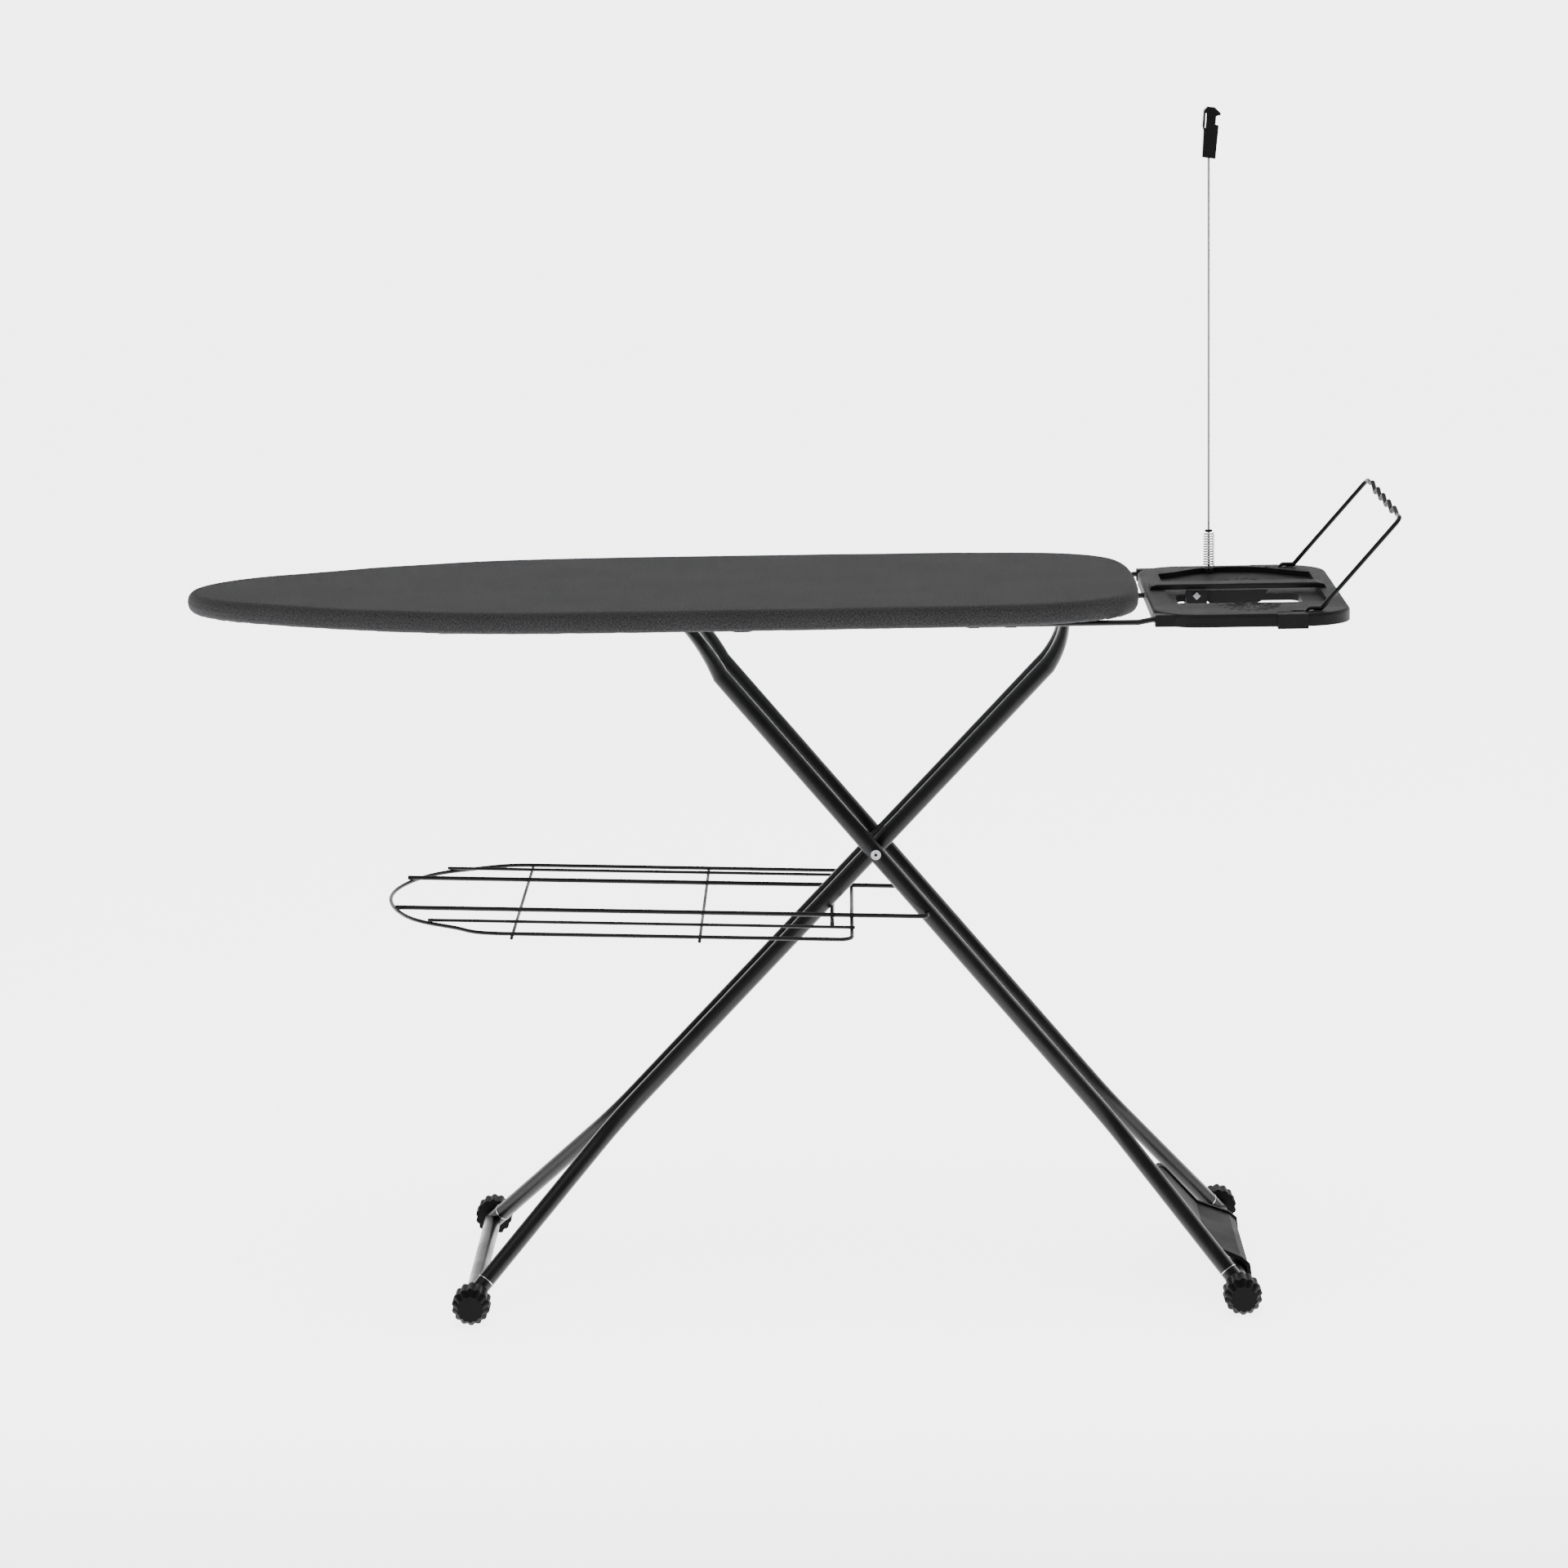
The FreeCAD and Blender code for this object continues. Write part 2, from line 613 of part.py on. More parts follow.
long_y = shelf_half * 0.76
long_wires = []
for side in (1, -1):
    long_wires.append(bar(on_shelf(shelf_near - wire_end, side * long_y, long_lift),
                          on_shelf(bow_reach(long_y) + wire_end, side * long_y, long_lift), shelf_wire / 2))
save("shelf_long_wires", *long_wires)
cross_wires = []
for back in (shelf_near + 0.32 * shelf_length, shelf_near + 0.715 * shelf_length):
    cross_wires.append(bar(on_shelf(back, -shelf_half - wire_end - 1, cross_lift),
                           on_shelf(back, shelf_half + wire_end + 1, cross_lift), shelf_wire / 2))
save("shelf_cross_wires", *cross_wires)

# ---- iron tray ----------------------------------------------------------------------
skin = 3.0
corner = 58.0
tray_end = tray_x + tray_length
open_x0 = tray_x + 38.0
open_x1 = tray_x + 196.0
open_y0 = -tray_half + 94.0
open_y1 = 2.0
clamp_x = tray_x + 66.0
clamp_half = 13.5
centre_y = 26.0
well_x0 = tray_x + 26.0
well_x1 = tray_x + 224.0
well_y0 = open_y0 + 3.0
well_y1 = 136.0
arch_y = tray_half - 16.0
arch_mid = (well_x0 + well_x1) / 2


def well(grow, z0, z1):
    """Rear recess with its arched back edge, made larger by the given amount."""
    points = [V(well_x0 - grow, well_y0 - grow, z0), V(well_x1 + grow, well_y0 - grow, z0),
              V(well_x1 + grow, well_y1 + grow, z0)]
    arch = [V(well_x1 + grow, well_y1 + grow, z0)]
    for share, rise in ((0.62, 0.03), (0.42, 0.45), (0.24, 0.86), (0.0, 1.0), (-0.24, 0.86),
                        (-0.42, 0.45), (-0.62, 0.03)):
        arch.append(V(arch_mid + share * (well_x1 - well_x0) * 0.8,
                      well_y1 + grow + (arch_y - well_y1 - grow) * rise, z0))
    arch.append(V(well_x0 - grow, well_y1 + grow, z0))
    curve = Part.BSplineCurve()
    curve.interpolate(arch[1:-1])
    edges = [Part.makeLine(points[0], points[1]), Part.makeLine(points[1], points[2]),
             Part.makeLine(arch[0], arch[1]), curve.toShape(),
             Part.makeLine(arch[-2], arch[-1]), Part.makeLine(arch[-1], points[0])]
    return Part.Face(Part.Wire(edges)).extrude(V(0, 0, z1 - z0))


tray = round_plate(tray_x, tray_end, -tray_half, tray_half, tray_bottom, tray_top, corner)
top_edges = [e for e in tray.Edges if e.BoundBox.ZMin > tray_top - 0.01]
tray = tray.makeFillet(4.0, top_edges)
cavity = round_plate(tray_x + skin, tray_end - skin, -tray_half + skin, tray_half - skin,
                     tray_bottom - 1, tray_top - skin, corner - skin)
tray = tray.cut(cavity)
collar = round_plate(open_x0 - skin, open_x1 + skin, open_y0 - skin, open_y1 + skin,
                     tray_bottom, tray_top - 1, 16)
bowl_depth = 7.0
bowl = well(skin, tray_top - bowl_depth - skin, tray_top - 1).common(
    box(tray_x, tray_end, -tray_half + 1, tray_half - 4, tray_bottom, tray_top))
tray = tray.fuse([collar, bowl])
for rib_x in (tray_x + 14, tray_end - 40):
    tray = tray.fuse(box(rib_x, rib_x + 2.5, -tray_half + 50, tray_half - 50, tray_bottom + 1, tray_top - 1))
boss_end = tray_x + 62.0
for side in (1, -1):
    low = min(side * (rod_y - 8), side * (rod_y + 8))
    tray = tray.fuse(box(tray_x + 0.5, boss_end, low, low + 16, tray_bottom, tray_top - 1))
tray = tray.cut(round_plate(open_x0, open_x1, open_y0, open_y1, tray_bottom - 1, tray_top + 1, 13))
tray = tray.cut(well(0, tray_top - bowl_depth, tray_top + 1))
tab = side_plate([(tray_x + 79, tray_top - 2), (tray_x + 79, tray_top - 14), (tray_x + 83, tray_top - 18.5),
                  (tray_x + 91, tray_top - 20.5), (tray_x + 138, tray_top - 20.5),
                  (tray_x + 149, tray_top - 17), (tray_x + 158, tray_top - 2)], open_y1, open_y1 + skin)
tray = tray.fuse(tab)
tray = tray.cut(box(clamp_x - clamp_half - 0.5, clamp_x + clamp_half + 0.5, open_y1 - 12, open_y1 + skin + 1,
                    tray_bottom - 1, tray_top - 1.2))
tray = tray.cut(bar(V(tray_x - 5, centre_y, rod_z), V(clamp_x + 14, centre_y, rod_z), rod_r + 0.8))
rod_in_z = tray_top - rod_r - 4.0
for side in (1, -1):
    tray = tray.cut(bar(V(tray_x - 1, side * rod_y, rod_in_z), V(boss_end - 6, side * rod_y, rod_in_z), rod_r))
clip_in = loop_y + loop_wire / 2 + 1.2
notch_x0 = clip_x - 34.0
notch_x1 = clip_x + 4.0
for side in (1, -1):
    low = min(side * clip_in, side * (tray_half + 5))
    high = max(side * clip_in, side * (tray_half + 5))
    tray = tray.cut(box(notch_x0, notch_x1, low, high, tray_bottom - 1, tray_top + 1))
    low = min(side * (loop_y - 4), side * (clip_in + 0.1))
    high = max(side * (loop_y - 4), side * (clip_in + 0.1))
    tray = tray.cut(box(clip_x - 16, clip_x + 12, low, high, tray_bottom - 1, tray_top + 1))
mast_hole_r = 3.8
tray = tray.cut(bar(V(mast_x, mast_y, tray_bottom - 1), V(mast_x, mast_y, tray_top + 1), mast_hole_r + 2.2))
tray = tray.removeSplitter()
save("tray", sorted(tray.Solids, key=lambda s: s.Volume)[-1])

# raised grip bar across the tray
bar_x0 = tray_x + 6.0
bar_x1 = tray_end - 14.0
grip = side_plate([(bar_x0, tray_top + 0.05), (bar_x0 + 2, tray_top + 4.6), (bar_x0 + 9, tray_top + 6.6),
                   (bar_x1 - 12, tray_top + 6.6), (bar_x1 - 3, tray_top + 4.6),
                   (bar_x1, tray_top + 0.05)], 1.0, 31.0)
grip_edges = [e for e in grip.Edges if e.BoundBox.ZMin > tray_top + 6.5 and e.BoundBox.YLength < 0.01]
grip = grip.makeFillet(2.5, grip_edges)
save("tray_grip_bar", grip)

# ---- tray supports ------------------------------------------------------------------
support = bent_bar([V(board_length - 224, rod_y, rod_z), V(tray_x - 20, rod_y, rod_z),
                    V(tray_x - 2, rod_y, rod_in_z), V(boss_end - 6, rod_y, rod_in_z)], rod_r, 14.0)
save("tray_rods", *both(support))
centre_start = hinge_x + 42.0
centre_rod = bar(V(centre_start, centre_y, rod_z), V(clamp_x + 8, centre_y, rod_z), rod_r)
save("centre_rod", centre_rod)
clamp_low = tray_bottom - 14.0
clamp_front = open_y1 - 7.0
clamp = box(clamp_x - clamp_half, clamp_x + clamp_half, clamp_front, clamp_front + 10, clamp_low,
            tray_top - 1.4)
clamp = clamp.fuse([box(clamp_x - clamp_half, clamp_x + clamp_half, clamp_front, centre_y + rod_r + 3,
                        clamp_low, clamp_low + 3),
                    box(clamp_x - clamp_half, clamp_x + clamp_half, centre_y - rod_r - 2,
                        centre_y + rod_r + 3, clamp_low, rod_z)])
clamp = clamp.cut(bar(V(clamp_x - 20, centre_y, rod_z), V(clamp_x + 20, centre_y, rod_z), rod_r))
save("tray_clamp", clamp.removeSplitter())
nut_z = tray_top - 7.5
nut_ring = [V(clamp_x + 5 * math.cos(math.pi / 2 * k), clamp_front, nut_z + 5 * math.sin(math.pi / 2 * k))
            for k in range(4)]
nut = Part.Face(Part.makePolygon(nut_ring + nut_ring[:1])).extrude(V(0, -2.6, 0))
stud = across(clamp_x, nut_z, clamp_front - 4.2, clamp_front, 2.2)
save("clamp_screw", fused(nut, stud))

saddle_wall = 0.9
saddles = []
for sx, sy in ((board_length - 214, rod_y), (board_length - 168, rod_y),
               (board_length - 214, -rod_y), (board_length - 168, -rod_y),
               (centre_start + 8, centre_y)):
    outer_ring = bar(V(sx - 7, sy, rod_z), V(sx + 7, sy, rod_z), rod_r + saddle_wall)
    post = box(sx - 7, sx + 7, sy - rod_r - saddle_wall, sy + rod_r + saddle_wall, rod_z, deck_bottom - 1.6)
    out = math.copysign(rod_r + saddle_wall, sy)
    inner = sy - math.copysign(18.0, sy)
    foot = box(sx - 7, sx + 7, min(inner, sy + out), max(inner, sy + out), deck_bottom - 1.6, deck_bottom)
    saddle = outer_ring.fuse([post, foot])
    saddle = saddle.cut(bar(V(sx - 8, sy, rod_z), V(sx + 8, sy, rod_z), rod_r))
    saddles.append(saddle.removeSplitter())
save("rod_saddles", *saddles)

# ---- hanger loop --------------------------------------------------------------------
wire_r = loop_wire / 2
foot_in = clip_x + 22.0
loop_low = tray_top + wire_r + 0.15
tip_x = clip_x + loop_reach
tip_z = tray_top + loop_rise + 2.0
journal_end = tray_half - 4.0
lean_x = tip_x - foot_in
lean_z = tip_z - loop_low
share = 0.93
arm_path = [V(clip_x, journal_end, loop_pin_z), V(clip_x, loop_y, loop_pin_z),
            V(clip_x + 7, loop_y, loop_low), V(foot_in, loop_y, loop_low),
            V(foot_in + lean_x * share, loop_y, loop_low + lean_z * share)]
loop_arm = bent_bar(arm_path, wire_r, wire_r + 0.2)
tip_arm = bent_bar([arm_path[4], V(tip_x, loop_y, tip_z), V(tip_x, loop_y - 26, tip_z)], wire_r, 10.0)
loop_side = fused(loop_arm, tip_arm)
save("hanger_loop", *both(loop_side))
steps = 10
bar_half = loop_y - 26.0 - weld_gap
wave_half = bar_half - 8.0
wave = [V(tip_x, bar_half, tip_z)]
for i in range(steps + 1):
    y = wave_half - 2 * wave_half * i / steps
    drop = 0.0 if i in (0, steps) else (5.0 if i % 2 else -5.0)
    wave.append(V(tip_x, y, tip_z + drop))
wave.append(V(tip_x, -bar_half, tip_z))
save("hanger_bar", bent_bar(wave, wire_r, 14.0))

clips = []
clip_low = tray_bottom - 3.0
clip_top = tray_top - 0.4
clip_in_gap = clip_in + 0.2
clip_body = box(notch_x0 + 0.1, notch_x1 - 0.1, clip_in_gap, tray_half + 1.5, clip_low, clip_top)
clip_body = clip_body.cut(across(clip_x, loop_pin_z, clip_in_gap - 1, journal_end + 0.4, wire_r + running_gap))
save("loop_clips", *both(clip_body))

# ---- cord mast ----------------------------------------------------------------------
sway_z = tray_top - 3.0
ball_r = 3.0
socket_r = mast_hole_r + 2.2
socket = bar(V(mast_x, mast_y, tray_bottom + 2), V(mast_x, mast_y, tray_top - 0.2), socket_r)
socket = socket.fuse(bar(V(mast_x, mast_y, tray_bottom - 4), V(mast_x, mast_y, tray_bottom + 2), socket_r + 2))
bowl_cut = Part.makeSphere(ball_r + 0.3, V(mast_x, mast_y, sway_z))
throat = bar(V(mast_x, mast_y, sway_z - 1), V(mast_x, mast_y, tray_top + 5), ball_r + 0.3)
save("mast_socket", socket.cut(bowl_cut).cut(throat).removeSplitter())
save("mast_ball", Part.makeSphere(ball_r, V(mast_x, mast_y, sway_z)))
rod_low = sway_z + ball_r + running_gap
rod_high = working_height - tray_step + mast_height - 60.0
save("mast_rod", bar(V(mast_x, mast_y, rod_low), V(mast_x, mast_y, rod_high), mast_wire / 2))

coil_wire = 1.6
coil_r = 8.0 - coil_wire / 2
coil_low = tray_top + 3.4
coil_turns = 13
coil_pitch = 3.35
helix = Part.makeHelix(coil_pitch, coil_pitch * coil_turns, coil_r)
helix.translate(V(mast_x, mast_y, coil_low))
coil_ring = Part.Wire(Part.makeCircle(coil_wire / 2, V(mast_x + coil_r, mast_y, coil_low), V(0, 1, 0)))
save("mast_spring", Part.Wire(helix.Edges).makePipeShell([coil_ring], True, True))
seat_z = coil_low + coil_turns * coil_pitch + coil_wire
seat = bar(V(mast_x, mast_y, seat_z), V(mast_x, mast_y, seat_z + 2.5), 5.0)
save("spring_seat", seat.cut(bar(V(mast_x, mast_y, seat_z - 1), V(mast_x, mast_y, seat_z + 4), mast_wire / 2)))

clip_z = rod_high - 6.0
head_points = [(-8.9, 2.1), (8.4, -0.5), (12.6, 42.5), (8.4, 44.0), (9.5, 54.6), (15.9, 56.2),
               (14.7, 59.0), (7.9, 66.0), (-1.6, 67.2), (-6.8, 62.0), (-8.6, 42.0), (-7.0, 36.0)]
cord_clip = side_plate([(mast_x + x, clip_z + z) for x, z in head_points], mast_y - 7.0, mast_y + 7.0)
slit = side_plate([(mast_x - 5.6, clip_z + 40), (mast_x - 4.4, clip_z + 39),
                   (mast_x - 2.9, clip_z + 58), (mast_x - 4.4, clip_z + 59)], mast_y - 8, mast_y + 8)
cord_clip = cord_clip.cut(slit)
cord_clip = cord_clip.cut(bar(V(mast_x, mast_y, clip_z - 2), V(mast_x, mast_y, rod_high), mast_wire / 2))
save("cord_clip", cord_clip)
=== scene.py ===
"""Looks for a folding ironing board: padded cloth top, iron tray, mast, hanger loop, legs and shelf.

Laid out as an add-on. Every size is in metres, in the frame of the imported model.
"""
import math

import bmesh
import bpy
import numpy as np
from mathutils import Matrix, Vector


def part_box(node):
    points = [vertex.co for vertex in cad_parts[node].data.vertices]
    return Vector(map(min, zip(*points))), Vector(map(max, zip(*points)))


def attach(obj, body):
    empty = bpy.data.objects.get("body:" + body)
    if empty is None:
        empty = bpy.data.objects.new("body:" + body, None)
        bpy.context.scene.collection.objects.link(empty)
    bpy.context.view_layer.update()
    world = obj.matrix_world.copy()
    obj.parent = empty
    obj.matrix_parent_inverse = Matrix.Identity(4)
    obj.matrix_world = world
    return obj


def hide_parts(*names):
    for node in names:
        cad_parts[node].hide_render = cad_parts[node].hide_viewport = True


bl_info = {
    "name": "Ironing Board Finish",
    "version": (1, 0, 0),
    "blender": (4, 5, 0),
    "location": "3D Viewport > Sidebar > Ironing Board",
    "description": "Builds the cloth cover, moulded details and finishes of a folding ironing board",
    "category": "Add Mesh",
}

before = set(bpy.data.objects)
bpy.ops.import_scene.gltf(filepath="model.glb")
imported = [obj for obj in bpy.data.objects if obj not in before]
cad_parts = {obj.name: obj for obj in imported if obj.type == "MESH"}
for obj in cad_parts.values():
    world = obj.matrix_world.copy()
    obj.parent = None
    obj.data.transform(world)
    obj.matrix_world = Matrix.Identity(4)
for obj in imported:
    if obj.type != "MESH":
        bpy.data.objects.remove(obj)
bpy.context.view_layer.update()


def low(node):
    """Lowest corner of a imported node."""
    return np.array(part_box(node)[0])


def high(node):
    """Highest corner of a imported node."""
    return np.array(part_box(node)[1])


# ---- sizes and colours a user can change -------------------------------------------
def length_property(name, description, default):
    """One length property in metres."""
    return bpy.props.FloatProperty(name=name, description=description, default=default, min=0.0,
                                   unit="LENGTH", subtype="DISTANCE", precision=4)


def colour_property(name, description, default):
    """One colour property holding sRGB values."""
    value = tuple(int(default[i:i + 2], 16) / 255 for i in (0, 2, 4))
    return bpy.props.FloatVectorProperty(name=name, description=description, default=value,
                                         size=3, min=0.0, max=1.0, subtype="COLOR_GAMMA")


class BoardCoverSettings(bpy.types.PropertyGroup):
    """Sizes and colours of the cloth cover, its hem and the foam under it."""
    top_round: length_property("Top rounding", "Radius of the cover's upper edge", 0.0115)
    bottom_round: length_property("Lower rounding", "Radius of the cover's lower edge", 0.0065)
    nose_round: length_property("Nose rounding", "Extra lower radius at the pointed end", 0.0055)
    hem: length_property("Hem", "How far the cloth is pulled in under the board", 0.034)
    cloth: length_property("Cloth thickness", "Thickness of cloth and lining", 0.001)
    thread: length_property("Thread spacing", "Size that the threads and flecks are drawn from", 0.0011)
    tuck_depth: length_property("Tuck depth", "Depth of the gathers along the hem", 0.0024)
    yarn_light: colour_property("Light yarn", "Colour of the light yarn in the weave", "454546")
    yarn_dark: colour_property("Dark yarn", "Colour of the dark yarn in the weave", "1F1F20")
    binding: colour_property("Binding", "Colour of the hem tape", "101011")
    felt: colour_property("Felt", "Colour of the padding", "C9C6BE")


class BoardMouldingSettings(bpy.types.PropertyGroup):
    """Colours and grain of the moulded plastic pieces."""
    tray: colour_property("Tray", "Colour of the tray", "181818")
    cap: colour_property("Foot caps", "Colour of the foot caps and guard", "0B0B0B")
    clip: colour_property("Cable clip", "Colour of the glossy cable clip", "0F0F10")
    sleeve: colour_property("Sleeve", "Colour of the sleeve on the hanger loop", "1B1B1C")
    grain: length_property("Grain", "Distance between the bumps of the moulded grain", 0.0011)
    rib_height: length_property("Rib height", "Height of the tray's grip ribs", 0.0012)


class BoardMetalSettings(bpy.types.PropertyGroup):
    """Colours of the painted and plated metal pieces."""
    powder: colour_property("Powder coat", "Colour of the legs", "0C0C0C")
    wire: colour_property("Wire coat", "Colour of the shelf wires", "0A0A0B")
    zinc: colour_property("Zinc", "Colour of zinc-plated steel", "C9CBCE")
    sheet: colour_property("Deck", "Colour of the steel deck", "9EA1A3")


class BoardStageSettings(bpy.types.PropertyGroup):
    """Colour of the floor, brightness of its painted backlight glow and size of the lights."""
    floor: colour_property("Floor", "Colour of the floor", "F7F7F7")
    lamp: length_property("Lamp size", "Width of the soft overhead lamp", 3.2)
    glow: bpy.props.FloatProperty(name="Backlight", description="Brightness of the lit sweep", default=4.0,
                                  min=0.0)


# ---- node and mesh helpers ----------------------------------------------------------
def linear(colour):
    """Linear RGBA from an sRGB hex text or an sRGB triple."""
    if isinstance(colour, str):
        colour = [int(colour[i:i + 2], 16) / 255 for i in (0, 2, 4)]
    c = np.array(colour[:3], dtype=float)
    return tuple(np.where(c <= 0.04045, c / 12.92, ((c + 0.055) / 1.055) ** 2.4)) + (1.0,)


def add_node(tree, kind, settings=None, links=None):
    """Adds one node, sets its sockets or attributes by name and links its inputs."""
    node = tree.nodes.new(kind)
    for key, value in (settings or {}).items():
        if key in node.inputs:
            node.inputs[key].default_value = value
        else:
            setattr(node, key, value)
    for key, source in (links or {}).items():
        tree.links.new(source, node.inputs[key])
    return node


def new_material(name):
    """An empty node material with its output and its principled shader."""
    material = bpy.data.materials.new(name)
    material.use_nodes = True
    tree = material.node_tree
    tree.nodes.clear()
    out = add_node(tree, "ShaderNodeOutputMaterial")
    shader = add_node(tree, "ShaderNodeBsdfPrincipled")
    tree.links.new(shader.outputs["BSDF"], out.inputs["Surface"])
    return material, tree, shader


def set_sockets(shader, **values):
    """Sets constants on a shader's own sockets."""
    for key, value in values.items():
        shader.inputs[key.replace("_", " ")].default_value = value


def object_position(tree):
    """Object coordinates in metres."""
    return add_node(tree, "ShaderNodeTexCoord").outputs["Object"]


def per_metre(millimetres):
    """Scale of a pattern whose features are this many millimetres across."""
    return 1000.0 / millimetres


def scaled(colour, share):
    """Linear RGBA of an sRGB colour whose light is scaled by a share, no brighter than white."""
    return tuple(min(1.0, part * share) for part in linear(colour)[:3]) + (1.0,)


def grid_faces(rows, columns, wrap_rows=False, wrap_columns=True, flip=False):
    """Quads of a grid of points, row by row, closed round or turned over where asked."""
    r = np.arange(rows if wrap_rows else rows - 1)
    c = np.arange(columns if wrap_columns else columns - 1)
    r, c = np.meshgrid(r, c, indexing="ij")
    r1, c1 = (r + 1) % rows, (c + 1) % columns
    quads = np.stack([r * columns + c, r * columns + c1, r1 * columns + c1, r1 * columns + c], -1)
    quads = quads.reshape(-1, 4)
    return quads[:, ::-1] if flip else quads


def make_piece(name, points, faces, material, uv=None, merge=0.0):
    """A mesh object at the origin from arrays of points and quads, with an optional UV per point."""
    mesh = bpy.data.meshes.new(name)
    mesh.from_pydata(points.reshape(-1, 3).tolist(), [], np.asarray(faces).tolist())
    if uv is not None:
        layer = mesh.uv_layers.new(name="flat_cut")
        index = np.empty(len(mesh.loops), dtype=np.int32)
        mesh.loops.foreach_get("vertex_index", index)
        layer.data.foreach_set("uv", uv.reshape(-1, 2)[index].astype(np.float32).ravel())
    if merge > 0:
        work = bmesh.new()
        work.from_mesh(mesh)
        bmesh.ops.remove_doubles(work, verts=work.verts, dist=merge)
        bmesh.ops.dissolve_degenerate(work, edges=work.edges, dist=merge / 4)
        work.to_mesh(mesh)
        work.free()
    mesh.polygons.foreach_set("use_smooth", np.ones(len(mesh.polygons), dtype=bool))
    mesh.materials.append(material)
    mesh.update()
    piece = bpy.data.objects.new(name, mesh)
    bpy.context.scene.collection.objects.link(piece)
    return piece


def dress(material, *nodes):
    """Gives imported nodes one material."""
    for node in nodes:
        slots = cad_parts[node].data.materials
        slots.clear()
        slots.append(material)


# ---- the board's outline ------------------------------------------------------------
OUTLINE = np.array([
    (0.0, 0.0), (0.004, 0.135), (0.018, 0.275), (0.0475, 0.420), (0.085, 0.535), (0.123, 0.628),
    (0.165, 0.725), (0.209, 0.812), (0.260, 0.892), (0.311, 0.952), (0.360, 0.984), (0.420, 0.998),
    (0.510, 1.0), (0.640, 1.0), (0.762, 0.990), (0.840, 0.975), (0.893, 0.945), (0.930, 0.895),
    (0.960, 0.815), (0.980, 0.710), (0.992, 0.560), (0.998, 0.340), (1.0, 0.0)])


def board_outline(count):
    """Points and outward normals round the board, evenly spaced along its edge.

    A closed cubic runs through the outline's points: between two of them it is the straight
    chord plus a cubic bulge whose second derivatives match at every point.
    """
    corner, far = low("cover"), high("cover")
    points = np.vstack([OUTLINE, OUTLINE[-2:0:-1] * (1, -1)])
    points = points * (far[0] - corner[0], (far[1] - corner[1]) / 2) + (corner[0], 0.0)
    n = len(points)
    step = np.linalg.norm(np.roll(points, -1, 0) - points, axis=1)
    knots = np.concatenate([[0.0], np.cumsum(step)])
    before, after = np.roll(step, 1), step
    matrix = np.zeros((n, n))
    i = np.arange(n)
    matrix[i, i] = 2 * (before + after)
    matrix[i, (i - 1) % n] = before
    matrix[i, (i + 1) % n] = after
    slope = (np.roll(points, -1, 0) - points) / step[:, None]
    bend = np.linalg.solve(matrix, 6 * (slope - np.roll(slope, 1, 0)))

    def at(t):
        k = np.clip(np.searchsorted(knots, t, side="right") - 1, 0, n - 1)
        h, a = step[k][:, None], ((t - knots[k]) / step[k])[:, None]
        b = 1 - a
        p, q = points[k], points[(k + 1) % n]
        curve = ((b ** 3 - b) * bend[k] + (a ** 3 - a) * bend[(k + 1) % n]) * h * h / 6
        return b * p + a * q + curve

    # The curve is traced far more finely than needed, to find even steps along its length.
    fine = np.linspace(0, knots[-1], 6001)
    curve = at(fine)
    run = np.concatenate([[0.0], np.cumsum(np.linalg.norm(np.diff(curve, axis=0), axis=1))])
    place = np.linspace(0, run[-1], count, endpoint=False)
    t = np.interp(place, run, fine)
    edge = at(t)
    ahead, back = at((t + 1e-5) % knots[-1]), at((t - 1e-5) % knots[-1])
    tangent = ahead - back
    tangent /= np.linalg.norm(tangent, axis=1)[:, None]
    normal = np.stack([-tangent[:, 1], tangent[:, 0]], 1)
    return edge, normal, place, run[-1]


def spine(edge):
    """Nearest points to the edge on the board's middle line, kept away from both ends."""
    nose_gap, tail_gap = 0.16, 0.15
    x = np.clip(edge[:, 0], low("cover")[0] + nose_gap, high("cover")[0] - tail_gap)
    return np.stack([x, np.zeros(len(x))], 1)


def waves(x, y, seed, sizes, count):
    """Smooth bumps: a sum of plane waves with seeded directions and lengths."""
    rng = np.random.default_rng(seed)
    total = np.zeros_like(x)
    for angle, size, phase in zip(rng.uniform(0, math.pi, count), rng.uniform(*sizes, count),
                                  rng.uniform(0, 2 * math.pi, count)):
        total += np.sin((x * math.cos(angle) + y * math.sin(angle)) * 2 * math.pi / size + phase)
    return total / math.sqrt(count)


